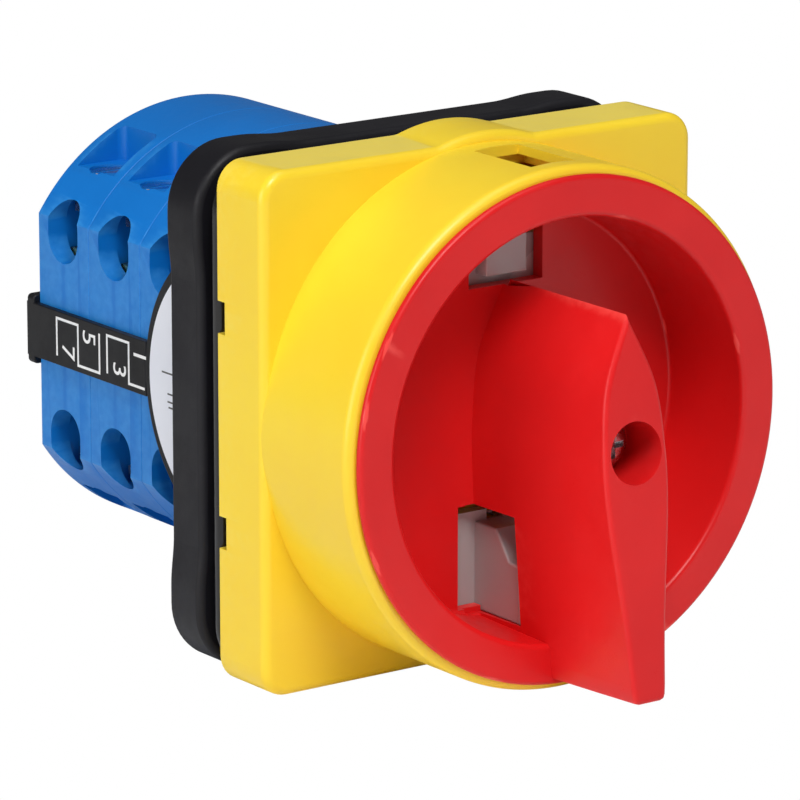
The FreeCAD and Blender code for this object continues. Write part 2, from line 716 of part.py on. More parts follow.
def coil(name, radius, wire, length, turns, placement):
    """A compression spring as a round wire swept along a helix, from z = 0 to z = length."""
    run = length - wire
    helix = Part.makeHelix(run / turns, run, radius)
    section = Part.Wire(Part.makeCircle(wire / 2, FreeCAD.Vector(radius, 0, 0), FreeCAD.Vector(0, 1, 0)))
    thing = doc.addObject("Part::Feature", name)
    thing.Shape = Part.Wire(helix.Edges).makePipeShell([section], True, True)
    thing.Placement = placement.multiply(FreeCAD.Placement(FreeCAD.Vector(0, 0, wire / 2), FreeCAD.Rotation()))
    return thing


def make_lock_spring():
    low = -(size("hub_radius") + size("slider_spring_room")) + size("spring_seat")
    high = -size("hub_radius") - size("spring_seat")
    level = number(f"{SLIDER_FRONT} + slider_thickness / 2")
    place = FreeCAD.Placement(FreeCAD.Vector(0, level, low), FreeCAD.Rotation())
    keep(coil("LockSpring", size("lock_spring_radius"), size("lock_spring_wire"), high - low,
              LOCK_SPRING_TURNS, place), "lock_spring")


def make_handle_screw():
    seat = f"({LEVER_FRONT} + screw_well_depth)"
    head = rod("ScrewHead", "Y", "handle_screw_head", (f"{seat} - handle_screw_head_height", seat))
    shank = rod("ScrewShank", "Y", "handle_screw_radius", (seat, f"{seat} + handle_screw_length"))
    face = (f"{seat} - handle_screw_head_height - {OVERRUN}", f"{seat} - handle_screw_head_height / 2")
    slots = [block("CrossSlotA", ("-cross_half", "cross_half"), face, ("-cross_slot / 2", "cross_slot / 2")),
             block("CrossSlotB", ("-cross_slot / 2", "cross_slot / 2"), face, ("-cross_half", "cross_half"))]
    keep(without("HandleScrew", joined("ScrewBlank", [head, shank]), slots), "handle_screw")


def make_shaft():
    half = "shaft_side / 2"
    bar_back = f"({DRUM_BACK} - web_thickness - shaft_end_gap)"
    bar = block("ShaftBar", (f"-{half}", half), ("-shaft_front", bar_back), (f"-{half}", half))
    journal = rod("ShaftJournal", "Y", "journal_radius", (f"{bar_back} - journal_overlap",
                                                          f"{DRUM_BACK} - journal_end_gap"))
    screw_end = f"{LEVER_FRONT} + screw_well_depth + handle_screw_length"
    tapping = rod("ShaftTapping", "Y", "handle_screw_radius + shaft_fit",
                  (f"-shaft_front - {OVERRUN}", f"{screw_end} + {OVERRUN}"))
    keep(without("Shaft", joined("ShaftBlank", [bar, journal]), [tapping]), "shaft")


# ---- Index mechanism ----

def drum_blank(name, front, length):
    """A slice of the drum: round, with a flat on each side."""
    disc = rod(name + "Disc", "Y", "drum_radius", (front, f"({front}) + ({length})"))
    band = block(name + "Band", ("-drum_flat / 2", "drum_flat / 2"), (front, f"({front}) + ({length})"),
                 (f"-drum_radius - {OVERRUN}", f"drum_radius + {OVERRUN}"))
    return shared(name + "Blank", [disc, band])


def tie_holes(name, front, length):
    return [rod(f"{name}Tie{side + 1}", "Y", "tie_radius + tie_gap", (front, f"({front}) + ({length})"),
                (flip("tie_offset", side), "0")) for side in (-1, 1)]


def on_diagonal(corner, start):
    """The placement that turns a +Z piece onto one of the drum's four diagonals, starting at a radius."""
    angle = math.radians(45 + 90 * corner)
    along = FreeCAD.Vector(math.cos(angle), 0, math.sin(angle))
    middle = (size("index_depth") - size("web_thickness")) / 2
    spot = along * start + FreeCAD.Vector(0, middle, 0)
    return FreeCAD.Placement(spot, FreeCAD.Rotation(FreeCAD.Vector(0, 0, 1), along))


def nose_radius():
    """How far the plungers' noses stand from the shaft when they are lifted."""
    return size("wheel_radius") + size("plunger_lift")


def make_index_housing():
    cavity_back = "(index_depth - web_thickness)"
    tools = [rod("IndexBore", "Y", "index_bore", (f"-{OVERRUN}", cavity_back)),
             rod("IndexShaftHole", "Y", SHAFT_CLEAR, ("0", f"index_depth + {OVERRUN}"))]
    tools += tie_holes("Index", f"-{OVERRUN}", f"index_depth + 2 * {OVERRUN}")
    for corner in range(QUARTERS):
        channel = doc.addObject("Part::Cylinder", f"PlungerBore{corner + 1}")
        bind(channel, "Radius", "plunger_radius + plunger_gap")
        bind(channel, "Height", "plunger_bore_end - index_bore / 2")
        channel.Placement = on_diagonal(corner, size("index_bore") / 2)
        tools.append(channel)
    keep(without("IndexHousing", drum_blank("Index", "0", "index_depth"), tools), "index_housing")


def make_index_wheel():
    wheel = rod("WheelDisc", "Y", "wheel_radius",
                ("wheel_front_gap", "index_depth - web_thickness - wheel_back_gap"))
    bore = block("WheelBore", (f"-{SOCKET_SIDE} / 2", f"{SOCKET_SIDE} / 2"), ("0", "index_depth"),
                 (f"-{SOCKET_SIDE} / 2", f"{SOCKET_SIDE} / 2"))
    centre = "(wheel_radius + valley_radius - valley_depth)"
    tools = [bore]
    for side_x in (-1, 1):
        for side_z in (-1, 1):
            spot = (flip(f"{centre} * cos(45deg)", side_x), flip(f"{centre} * sin(45deg)", side_z))
            valley = rod(f"Valley{side_x + 1}{side_z + 1}", "Y", "valley_radius", ("0", "index_depth"), spot)
            tools.append(valley)
    keep(without("IndexWheel", wheel, tools), "index_wheel")


def make_index_plungers():
    for corner in range(QUARTERS):
        stem = doc.addObject("Part::Cylinder", f"PlungerStem{corner + 1}")
        bind(stem, "Radius", "plunger_radius")
        bind(stem, "Height", "plunger_length - plunger_radius")
        stem.Placement = on_diagonal(corner, nose_radius() + size("plunger_radius"))
        nose = doc.addObject("Part::Sphere", f"PlungerNose{corner + 1}")
        bind(nose, "Radius", "plunger_radius")
        nose.Placement = on_diagonal(corner, nose_radius() + size("plunger_radius"))
        keep(joined(f"IndexPlunger{corner + 1}", [stem, nose]), f"index_plunger_{corner + 1}")


def make_index_springs():
    start = nose_radius() + size("plunger_length") + size("spring_seat")
    length = size("plunger_bore_end") - size("spring_seat") - start
    for corner in range(QUARTERS):
        keep(coil(f"IndexSpring{corner + 1}", size("index_spring_radius"), size("index_spring_wire"), length,
                  SPRING_TURNS, on_diagonal(corner, start)), f"index_spring_{corner + 1}")


# ---- Contact decks ----

def deck_front(deck):
    return f"(index_depth + {deck - 1} * deck_pitch)"


def wire_entry(name, front, side_x, side_z):
    """A rectangular terminal chamber behind an oblong mouth in the flank."""
    wall = "(drum_flat / 2 - entry_wall)"
    low_y = f"({front} + entry_centre - entry_width / 2)"
    high_y = f"({front} + entry_centre + entry_width / 2)"
    chamber = mirrored_block(name + "Chamber", side_x, side_z, ("chamber_half - shaft_fit", wall),
                             (low_y, high_y), (ENTRY_LOW, ENTRY_HIGH))
    mouth_low = f"({ENTRY_LOW} + entry_width / 2)"
    mouth_high = f"({ENTRY_HIGH} - entry_width / 2)"
    mouth = mirrored_block(name + "Mouth", side_x, side_z, (wall, "drum_radius"), (low_y, high_y),
                           (mouth_low, mouth_high))
    x_span = sided(wall, "drum_radius", side_x)
    ends = [rod(f"{name}End{i}", "X", "entry_width / 2", x_span,
                (f"{front} + entry_centre", flip(level, side_z)))
            for i, level in enumerate((mouth_low, mouth_high))]
    return [chamber, mouth, *ends]


def screw_pocket(name, front, side_x, side_z):
    """The recess in the drum's crown, and a terminal screw's seat and hole in its floor."""
    centre = f"({front} + entry_centre)"
    recess = mirrored_block(name + "Recess", side_x, side_z, ("pocket_inner", "pocket_outer"),
                            (f"{centre} - pocket_length / 2", f"{centre} + pocket_length / 2"),
                            (POCKET_FLOOR, "drum_radius"))
    spot = (flip("terminal_screw_offset", side_x), centre)
    top = f"{POCKET_FLOOR} + {OVERRUN}"
    seat = rod(name + "Seat", "Z", "terminal_screw_head + terminal_head_gap",
               sided(SCREW_SEAT, top, side_z), spot)
    hole = rod(name + "Hole", "Z", "terminal_screw_radius + terminal_screw_gap",
               sided(f"{ENTRY_HIGH} - {OVERRUN}", top, side_z), spot)
    return [recess, seat, hole]


def make_deck(deck):
    name = f"Deck{deck}"
    front = deck_front(deck)
    web = f"({front} + deck_pitch - web_thickness)"
    journal = "journal_radius + shaft_fit" if deck == DECKS[-1] else SHAFT_CLEAR
    tools = [rod(name + "CamBore", "Y", CAM_BORE, (f"{front} - {OVERRUN}", web)),
             rod(name + "ShaftHole", "Y", journal, (front, f"{web} + web_thickness + {OVERRUN}"))]
    tools += tie_holes(name, f"{front} - {OVERRUN}", f"deck_pitch + 2 * {OVERRUN}")
    chamber_y = (f"{front} - {OVERRUN}", f"{front} + chamber_back")
    for side_z in (-1, 1):
        slot_half = "(carrier_half + carrier_gap)"
        tools.append(mirrored_block(f"{name}Slot{side_z + 1}", 1, side_z, (minus(slot_half), slot_half),
                                    chamber_y, (f"{CAM_BORE} - 2 * {OVERRUN}", "carrier_slot_top")))
        tools.append(mirrored_block(f"{name}Chamber{side_z + 1}", 1, side_z, ("-chamber_half", "chamber_half"),
                                    chamber_y, (CHAMBER_LOW, CHAMBER_HIGH)))
        for side_x in (-1, 1):
            corner = f"{name}Corner{side_x + 1}{side_z + 1}"
            tools += wire_entry(corner, front, side_x, side_z)
            tools += screw_pocket(corner, front, side_x, side_z)
    keep(without(name, drum_blank(name, front, "deck_pitch"), tools), f"contact_deck_{deck}")


def cam_rise(turn):
    """How far the cam stands out over its low side, as a share, at an angle in degrees: two spiral lobes."""
    share = (turn % 180) / 90
    return share if share <= 1 else 2 - share


def make_cam(deck):
    steps = 15
    low = number(CAM_LOW)
    front = number(f"{deck_front(deck)} + cam_front_gap")
    depth = number("deck_pitch - web_thickness - cam_front_gap - cam_back_gap")
    edges = []
    for quarter in range(QUARTERS):
        points = []
        for step in range(steps + 1):
            turn = 90 * (quarter + step / steps)
            radius = low + size("cam_lift") * cam_rise(turn + 90)
            points.append(FreeCAD.Vector(radius * math.cos(math.radians(turn)), front,
                                         radius * math.sin(math.radians(turn))))
        curve = Part.BSplineCurve()
        curve.interpolate(points)
        edges.append(curve.toShape())
    disc = Part.Face(Part.Wire(edges)).extrude(FreeCAD.Vector(0, depth, 0))
    side = number(SOCKET_SIDE)
    bore = Part.makeBox(side, depth + 2 * OVERRUN, side, FreeCAD.Vector(-side / 2, front - OVERRUN, -side / 2))
    thing = doc.addObject("Part::Feature", f"Cam{deck}")
    thing.Shape = disc.cut(bore)
    keep(thing, f"cam_{deck}")


def make_moving_contact(pole, deck, side_z):
    """One pole's carrier, its bridge with two tips, and its spring."""
    centre = f"({deck_front(deck)} + entry_centre - carrier_shift)"
    high = f"({CARRIER_LOW} + carrier_height)"
    stem = mirrored_block(f"CarrierStem{pole}", 1, side_z, ("-carrier_half", "carrier_half"),
                          (f"{centre} - carrier_width / 2", f"{centre} + carrier_width / 2"),
                          (CARRIER_LOW, high))
    bridge_y = (f"{centre} - bridge_width / 2", f"{centre} + bridge_width / 2")
    passage = mirrored_block(f"CarrierPassage{pole}", 1, side_z, ("-bridge_half", "bridge_half"), bridge_y,
                             (BRIDGE_LOW, BRIDGE_HIGH))
    keep(without(f"Carrier{pole}", stem, [passage]), f"carrier_{pole}")
    bar = mirrored_block(f"BridgeBar{pole}", 1, side_z, ("-bridge_half", "bridge_half"), bridge_y,
                         (BRIDGE_LOW, BRIDGE_HIGH))
    tips = [mirrored_block(f"BridgeTip{pole}{side_x + 1}", side_x, side_z,
                           ("tip_centre - tip_half", "tip_centre + tip_half"), bridge_y,
                           (BRIDGE_HIGH, f"{BRIDGE_HIGH} + tip_thickness")) for side_x in (-1, 1)]
    keep(joined(f"Bridge{pole}", [bar, *tips]), f"contact_bridge_{pole}")
    start = number(f"{high} + spring_seat")
    length = size("carrier_slot_top") - size("spring_seat") - start
    turn = FreeCAD.Rotation() if side_z > 0 else FreeCAD.Rotation(FreeCAD.Vector(1, 0, 0), 180)
    place = FreeCAD.Placement(FreeCAD.Vector(0, number(centre), side_z * start), turn)
    keep(coil(f"ContactSpring{pole}", size("contact_spring_radius"), size("contact_spring_wire"), length,
              SPRING_TURNS, place), f"contact_spring_{pole}")


def make_terminal(index, deck, side_x, side_z):
    """A fixed contact: a flat bar from the wire entry to a tip above the bridge."""
    centre = f"({deck_front(deck)} + entry_centre)"
    y_span = (f"{centre} - {TERMINAL_WIDTH} / 2", f"{centre} + {TERMINAL_WIDTH} / 2")
    bar = mirrored_block(f"TerminalBar{index}", side_x, side_z, ("terminal_inner", "terminal_outer"), y_span,
                         (TERMINAL_LOW, f"{TERMINAL_LOW} + terminal_thickness"))
    tip = mirrored_block(f"TerminalTip{index}", side_x, side_z,
                         ("tip_centre - tip_half", "tip_centre + tip_half"), y_span,
                         (f"{TERMINAL_LOW} - tip_thickness", TERMINAL_LOW))
    keep(joined(f"Terminal{index}", [bar, tip]), f"terminal_{index}")


def terminal_screw(index, deck, side_x, side_z):
    centre = f"({deck_front(deck)} + entry_centre)"
    spot = (flip("terminal_screw_offset", side_x), centre)
    head = rod(f"TerminalHead{index}", "Z", "terminal_screw_head", sided(SCREW_SEAT, SCREW_TOP, side_z), spot)
    shank = rod(f"TerminalShank{index}", "Z", "terminal_screw_radius",
                sided(f"{CLAMP_LOW} + clamp_thickness", SCREW_SEAT, side_z), spot)
    slot_x = ("terminal_screw_offset - terminal_screw_head", "terminal_screw_offset + terminal_screw_head")
    slot = mirrored_block(f"TerminalSlot{index}", side_x, side_z, slot_x,
                          (f"{centre} - cross_slot / 2", f"{centre} + cross_slot / 2"),
                          (f"{SCREW_TOP} - terminal_slot_depth", f"{SCREW_TOP} + {OVERRUN}"))
    return without(f"TerminalScrew{index}", joined(f"TerminalScrewBlank{index}", [head, shank]), [slot])


def clamp_plate(index, deck, side_x, side_z):
    centre = f"({deck_front(deck)} + entry_centre)"
    return mirrored_block(f"ClampPlate{index}", side_x, side_z, ("clamp_inner", "clamp_outer"),
                          (f"{centre} - {CLAMP_WIDTH} / 2", f"{centre} + {CLAMP_WIDTH} / 2"),
                          (CLAMP_LOW, f"{CLAMP_LOW} + clamp_thickness"))


def make_contacts():
    """Poles 1 to 4: the upper and lower pole of each contact deck, odd terminals on the left."""
    screws = []
    clamps = []
    pole = 0
    for deck in CONTACT_DECKS:
        make_cam(deck)
        for side_z in (1, -1):
            pole += 1
            make_moving_contact(pole, deck, side_z)
            for side_x in (-1, 1):
                index = 2 * pole - (1 if side_x < 0 else 0)
                make_terminal(index, deck, side_x, side_z)
                screws.append(terminal_screw(index, deck, side_x, side_z))
                clamps.append(clamp_plate(index, deck, side_x, side_z))
    keep(solid_group("TerminalScrews", screws), "terminal_screws")
    keep(solid_group("ClampPlates", clamps), "clamp_plates")


# ---- Outside of the drum: tie bolts, marking strips, label ----

def make_tie_bolts():
    bolts = []
    for side in (-1, 1):
        spot = (flip("tie_offset", side), "0")
        shank = rod(f"TieShank{side + 1}", "Y", "tie_radius", ("-tie_grip", DRUM_BACK), spot)
        head = rod(f"TieHead{side + 1}", "Y", "tie_head_radius",
                   (DRUM_BACK, f"{DRUM_BACK} + tie_head_height"), spot)
        middle = flip("tie_offset", side)
        slot = block(f"TieSlot{side + 1}", (f"{middle} - tie_head_radius", f"{middle} + tie_head_radius"),
                     (f"{DRUM_BACK} + tie_head_height / 2", f"{DRUM_BACK} + tie_head_height + {OVERRUN}"),
                     ("-cross_slot / 2", "cross_slot / 2"))
        bolts.append(without(f"TieBolt{side + 1}", joined(f"TieBlank{side + 1}", [shank, head]), [slot]))
    keep(solid_group("TieBolts", bolts), "tie_bolts")


def make_marking_strip(side, label):
    """A flat strip along the flank, hooked over the drum's rear edge."""
    flank = "(drum_flat / 2)"
    face = f"{flank} + strip_thickness"
    back = f"{DRUM_BACK} + hook_depth"
    leg = mirrored_block(f"StripLeg{side + 1}", side, 1, (flank, face), ("strip_front", back),
                         ("-strip_height / 2", "strip_height / 2"))
    hook = mirrored_block(f"StripHook{side + 1}", side, 1, (f"{flank} - hook_reach", face), (DRUM_BACK, back),
                          ("-hook_height / 2", "hook_height / 2"))
    keep(joined(f"MarkingStrip{side + 1}", [leg, hook]), label)


def rounded_plaque(name, radius, inner, thickness):
    """A disc on the left flank, cut straight where it meets the panel."""
    low = f"(-drum_flat / 2 - {inner} - {thickness})"
    disc = rod(name + "Disc", "X", radius, (low, f"{low} + {thickness}"), ("holder_centre", "0"))
    band = block(name + "Band", (f"{low} - {OVERRUN}", f"{low} + {thickness} + {OVERRUN}"),
                 ("holder_front", "drum_radius"), ("-drum_radius", "drum_radius"))
    return shared(name, [disc, band])


def make_label():
    keep(rounded_plaque("LabelHolder", "holder_radius", "0", "holder_thickness"), "label_holder")
    keep(rounded_plaque("RatingLabel", "label_radius", "holder_thickness", "label_thickness"), "rating_label")


def write_parts():
    """Check every object and every sub-part, then write one file for each sub-part."""
    doc.recompute()
    bad = [thing.Name for thing in doc.Objects if "Invalid" in thing.State or "Error" in thing.State]
    for thing in finished:
        if thing.Shape.isNull() or not thing.Shape.isValid() or not thing.Shape.Solids:
            bad.append(thing.Label)
    if bad:
        raise RuntimeError("failed objects: " + ", ".join(bad))
    os.makedirs("parts", exist_ok=True)
    for thing in finished:
        thing.Shape.exportStep(f"parts/{thing.Label}.step")


make_mounting_plate()
make_front_gasket()
make_escutcheon()
make_handle()
make_lock_slider()
make_lock_spring()
make_handle_screw()
make_shaft()
make_index_housing()
make_index_wheel()
make_index_plungers()
make_index_springs()
for deck_number in DECKS:
    make_deck(deck_number)
make_contacts()
make_tie_bolts()
make_marking_strip(-1, "marking_strip_left")
make_marking_strip(1, "marking_strip_right")
make_label()
write_parts()
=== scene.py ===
import bmesh
import bpy
import math
from mathutils import Matrix, Vector


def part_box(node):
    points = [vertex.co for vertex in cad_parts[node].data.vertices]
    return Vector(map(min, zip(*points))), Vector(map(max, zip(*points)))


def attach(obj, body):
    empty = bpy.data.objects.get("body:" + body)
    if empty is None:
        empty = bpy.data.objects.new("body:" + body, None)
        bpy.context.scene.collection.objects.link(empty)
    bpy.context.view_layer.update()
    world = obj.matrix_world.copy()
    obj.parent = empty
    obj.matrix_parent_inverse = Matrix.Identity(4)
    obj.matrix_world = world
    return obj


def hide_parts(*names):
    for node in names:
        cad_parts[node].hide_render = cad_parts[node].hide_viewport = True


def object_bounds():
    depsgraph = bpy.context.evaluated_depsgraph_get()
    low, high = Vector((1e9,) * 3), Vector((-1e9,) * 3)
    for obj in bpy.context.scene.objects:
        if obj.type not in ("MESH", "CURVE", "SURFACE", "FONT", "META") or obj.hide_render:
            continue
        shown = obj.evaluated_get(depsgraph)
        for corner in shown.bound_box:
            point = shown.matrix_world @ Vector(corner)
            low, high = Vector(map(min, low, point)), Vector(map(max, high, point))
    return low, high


# Padlockable rotary isolator.  The shaft lies along Y, the handle faces -Y and +Z is up.
# Sizes below are in millimetres, and the meshes are made in metres.

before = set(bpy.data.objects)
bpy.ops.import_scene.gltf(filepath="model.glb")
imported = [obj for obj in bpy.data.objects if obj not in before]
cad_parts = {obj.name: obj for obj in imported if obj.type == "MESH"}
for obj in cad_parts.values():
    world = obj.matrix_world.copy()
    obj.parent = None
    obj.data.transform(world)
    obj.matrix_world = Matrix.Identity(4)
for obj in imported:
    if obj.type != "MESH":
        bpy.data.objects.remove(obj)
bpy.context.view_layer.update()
MM = 0.001


def span(node):
    """A CAD node's lowest and highest corner, in millimetres."""
    low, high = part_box(node)
    return [value / MM for value in low], [value / MM for value in high]


# ---- Sizes read from the frame ----

COVER_LOW, COVER_HIGH = span("escutcheon")
PLATE_LOW, PLATE_HIGH = span("mounting_plate")
GASKET_LOW, GASKET_HIGH = span("front_gasket")
HANDLE_HIGH = span("handle")[1]
DECK_SPANS = [span(f"contact_deck_{deck}") for deck in (1, 2, 3)]
INDEX_LOW, INDEX_HIGH = span("index_housing")
HOLDER_LOW, HOLDER_HIGH = span("label_holder")
LABEL_LOW, LABEL_HIGH = span("rating_label")
SCREW_LOW, SCREW_HIGH = span("handle_screw")
SLIDER_LOW, SLIDER_HIGH = span("lock_slider")

COVER_HALF = COVER_HIGH[0]
COVER_BACK = COVER_HIGH[1]
COLLAR_FRONT = COVER_LOW[1]
PLATE_HALF = PLATE_HIGH[0]
GASKET_HALF = GASKET_HIGH[0]
RING_RADIUS = HANDLE_HIGH[0]
LEVER_TAIL = RING_RADIUS - 0.5
DRUM_RADIUS = DECK_SPANS[0][1][2]
DRUM_FLAT = DECK_SPANS[0][1][0]

# ---- Driving sizes of the visible pieces ----

COVER_THICKNESS = 9.5
COVER_CORNER = 3.5
COVER_EDGE = 1.1
COVER_WALL = 2.4
COVER_SKIN = 2.5
COLLAR_RADIUS = 31.9
COLLAR_WALL = 2.3
COLLAR_LIP = 1.2
WINDOW_HALF = 3.3
WINDOW_SILL = 2.7
WINDOW_LENGTH = 11.3
BUMP_RADIUS = 21.5
BUMP_HEIGHT = COVER_HIGH[2] - COVER_HALF
BUMP_OFFSET = 1.0
NOTCH_LEVEL = 13.2
NOTCH_HALF = 2.0
NOTCH_DEPTH = 1.6
BASE_THICKNESS = 6.5
BASE_CORNER = 8.0
GROOVE_WIDTH = 1.9
NECK_INSET = 2.2
GASKET_CORNER = 6.5
RING_FRONT = COLLAR_FRONT - 1.2
RING_WIDTH = 5.0
FLANGE = 0.9
FLOOR_RADIUS = 25.3
CUP_DEPTH = 13.3
CORNER_EAR = 0.45
FLOOR_THICKNESS = 1.8
FLOOR_FRONT = RING_FRONT + CUP_DEPTH
LEVER_RISE = 12.2
LEVER_TILT = math.radians(6.4)
LEVER_BOW = 16.2
WELL_RADIUS = 3.75
HUB_OPENING = 8.85

# Marking strips and label: the strips stand on the drum's flats, the label beside the plate.
MARK_PITCH = 4.9
MARK_LEVEL = 2.6
MARK_SETBACK = 6.2
MARK_WIDTH = 0.34
DIGIT_HEIGHT = 2.9
DIGIT_PLACES = ((18.9, 1.4), (23.5, -1.3), (30.4, 1.4), (35.2, -1.3))
PRINT_THICKNESS = 0.02
STRIP_HALF = 3.5
STRIP_THICKNESS = 0.9
HOOK_HALF = 4.5
HOOK_REACH = 3.0
LABEL_CENTRE = -1.1
LABEL_RIM_RADIUS = 18.6
LABEL_RADIUS = 17.0
TICK_WIDTH = 0.22
TICKS = (((4.5, 13.0), 0.7), ((6.0, 11.8), -1.9), ((6.0, 11.8), -2.9), ((7.0, 11.6), -3.6),
         ((4.5, 10.0), 6.5), ((4.5, 10.0), -8.0))

# Contact decks: spans run outwards from the shaft.
DECK_MIDDLE = 5.9
ENTRY_HALF = 3.4
ENTRY_SPAN = (9.5, 17.5)
MOUTH_DEPTH = 2.9
ROOM_START = 11.9
RECESS_SPAN = (11.0, 26.0)
RECESS_FLOOR = 20.8
RECESS_HALF = 4.1
SEAT_CENTRE = 15.8
SEAT_RADIUS = 2.6
SEAT_FLOOR = 20.5
SHAFT_HOLE = 4.6

# Mounting plate and gasket.
BOLT_SPACING = 48.0
BOLT_HOLE = 2.5
SCREW_HEAD_HOLE = 4.6
SCREW_HEAD_FLOOR = -5.5
SPIGOT_HEIGHT = 5.0
BOSS_RADIUS = 8.45
BOSS_BORE = 5.85
BOSS_BORE_DEPTH = 4.3
NECK_CORNER = 6.5
SPIGOT_CORNER = 1.5
FIT_GAP = 0.4

# Handle: the lever's half widths are listed with their levels, and the cuts are half widths and spans.
LEVER_BASE = ((-20, 4.1), (-6.5, 4.9), (0, 4.9), (8.1, 3.9))
LEVER_FACE = ((-20, 3.05), (-6.5, 4.5), (0, 4.6), (8.1, 3.6))
LEVER_TIP = 0.4
TAIL_HALF = 3.4
TAIL_FACE_HALF = 2.35
HUB_RADIUS = 5.8
SHAFT_HALF = 3.05
SHANK_HOLE = 2.2
SCREW_HEAD = 2.1
SCREW_SHANK = 1.9
CROSS_HALF = 1.7
CROSS_WIDTH = 0.38
LOCK_CAVITY_HALF = 3.2
LOCK_CAVITY = (-24.9, -7.5)
FINGER_SLOT_HALF = 5.5
FINGER_SLOT = (15.5, 24.2)
TONGUE_SLOT_HALF = 3.4
TONGUE_SLOT_START = 23.3

# Lock slider.
SLIDER_HALF = 10.0
SLIDER_TOP = 20.8
SLIDER_SLOT_HALF = 6.4
SLIDER_SLOT = (-12.6, 7.0)
TAB_HALF = 3.0
TAB_RISE = 8.7
TAB_RAMP = (-13.9, -17.4, -17.7)
SURROUND = 0.11
PADLOCK_TOP = 11.0
PADLOCK_RISE = 8.0
PADLOCK_HALF = 7.0
LEVER_EDGE = 0.6


# ---- Outlines ----

def rounded(corners, steps=6):
    """A closed outline from (a, b, radius) corners, with an arc at each corner that has a radius."""
    outline = []
    count = len(corners)
    for i, (a, b, radius) in enumerate(corners):
        here = Vector((a, b))
        before = (Vector(corners[i - 1][:2]) - here)
        after = (Vector(corners[(i + 1) % count][:2]) - here)
        if radius <= 0:
            outline.append((a, b))
            continue
        angle = before.angle(after)
        reach = radius / math.tan(angle / 2)
        inwards = (before.normalized() + after.normalized()).normalized()
        middle = here + inwards * (radius / math.sin(angle / 2))
        start = here + before.normalized() * reach - middle
        end = here + after.normalized() * reach - middle
        turn = start.angle_signed(end)
        for step in range(steps + 1):
            part = -turn * step / steps
            cos, sin = math.cos(part), math.sin(part)
            outline.append((middle.x + start.x * cos - start.y * sin,
                            middle.y + start.x * sin + start.y * cos))
    return outline


def rounded_rectangle(half_a, half_b, radius, steps=8):
    """A rectangle round the shaft, with rounded corners."""
    return rounded([(-half_a, -half_b, radius), (half_a, -half_b, radius), (half_a, half_b, radius),
                    (-half_a, half_b, radius)], steps)


def shrunk(outline, inset):
    """An outline moved inwards by a distance; it runs anticlockwise."""
    count = len(outline)
    result = []
    for i in range(count):
        here = Vector(outline[i])
        before = (here - Vector(outline[i - 1])).normalized()
        after = (Vector(outline[(i + 1) % count]) - here).normalized()
        normal = Vector((-(before + after).y, (before + after).x)).normalized()
        lean = max(0.35, normal.dot(Vector((-after.y, after.x))))
        moved = here + normal * (inset / lean)
        result.append((moved.x, moved.y))
    return result


def edge_steps(radius, steps=4):
    """(distance along, inset) pairs for a quarter-round edge, from the end face inwards."""
    return [(radius * (1 - math.sin(math.pi / 2 * i / steps)),
             radius * (1 - math.cos(math.pi / 2 * i / steps)))
            for i in range(steps, -1, -1)]


# ---- Mesh building ----

def stacked(rings, closed=False):
    """A solid through rings of (x, y, z) points, each with the same count; capped, or closed on itself."""
    mesh = bmesh.new()
    layers = [[mesh.verts.new(Vector(point) * MM) for point in ring] for ring in rings]
    count = len(rings[0])
    pairs = list(zip(layers, layers[1:]))
    if closed:
        pairs.append((layers[-1], layers[0]))
    for lower, upper in pairs:
        for i in range(count):
            mesh.faces.new((lower[i], lower[(i + 1) % count], upper[(i + 1) % count], upper[i]))
    if not closed:
        mesh.faces.new(list(reversed(layers[0])))
        mesh.faces.new(layers[-1])
    bmesh.ops.remove_doubles(mesh, verts=mesh.verts, dist=0.0005 * MM)
    bmesh.ops.recalc_face_normals(mesh, faces=mesh.faces)
    return mesh


def slab(outline, front, back, front_edge=0.0, back_edge=0.0):
    """An outline in X and Z pushed along Y, with rounded edges at its two faces."""
    rings = []
    for along, inset in (edge_steps(front_edge) if front_edge else [(0, 0)]):
        rings.append([(x, front + along, z) for x, z in shrunk(outline, inset)])
    for along, inset in reversed(edge_steps(back_edge) if back_edge else [(0, 0)]):
        rings.append([(x, back - along, z) for x, z in shrunk(outline, inset)])
    return stacked(rings)


def side_slab(outline, low_x, high_x, edge=0.0):
    """An outline in Y and Z pushed along X."""
    rings = []
    for along, inset in (edge_steps(edge) if edge else [(0, 0)]):
        rings.append([(low_x + along, y, z) for y, z in shrunk(outline, inset)])
    for along, inset in reversed(edge_steps(edge) if edge else [(0, 0)]):
        rings.append([(high_x - along, y, z) for y, z in shrunk(outline, inset)])
    return stacked(rings)


def brick(x_span, y_span, z_span, edge=0.0):
    """A box between three spans; an edge radius rounds its front and rear rims."""
    outline = [(x_span[0], z_span[0]), (x_span[1], z_span[0]), (x_span[1], z_span[1]), (x_span[0], z_span[1])]
    return slab(outline, *y_span, edge, edge)


def disc_outline(radius, count=96, centre=(0, 0)):
    """A circle as an outline, turned a little so that no corner meets another piece's."""
    turns = [math.tau * (i + 0.37) / count for i in range(count)]
    return [(centre[0] + radius * math.cos(turn), centre[1] + radius * math.sin(turn)) for turn in turns]


def turned(profile, count=180):
    """A closed profile of (radius, y) points turned about the shaft; points on the axis are allowed."""
    mesh = bmesh.new()
    columns = []
    for radius, y in profile:
        if radius < 1e-6:
            columns.append([mesh.verts.new(Vector((0, y, 0)) * MM)] * count)
        else:
            columns.append([mesh.verts.new(Vector((radius * math.cos(math.tau * i / count), y,
                                                   radius * math.sin(math.tau * i / count))) * MM)
                            for i in range(count)])
    for lower, upper in zip(columns, columns[1:] + columns[:1]):
        for i in range(count):
            corners = [lower[i], lower[(i + 1) % count], upper[(i + 1) % count], upper[i]]
            face = list(dict.fromkeys(corners))
            if len(face) > 2:
                mesh.faces.new(face)
    bmesh.ops.recalc_face_normals(mesh, faces=mesh.faces)
    return mesh


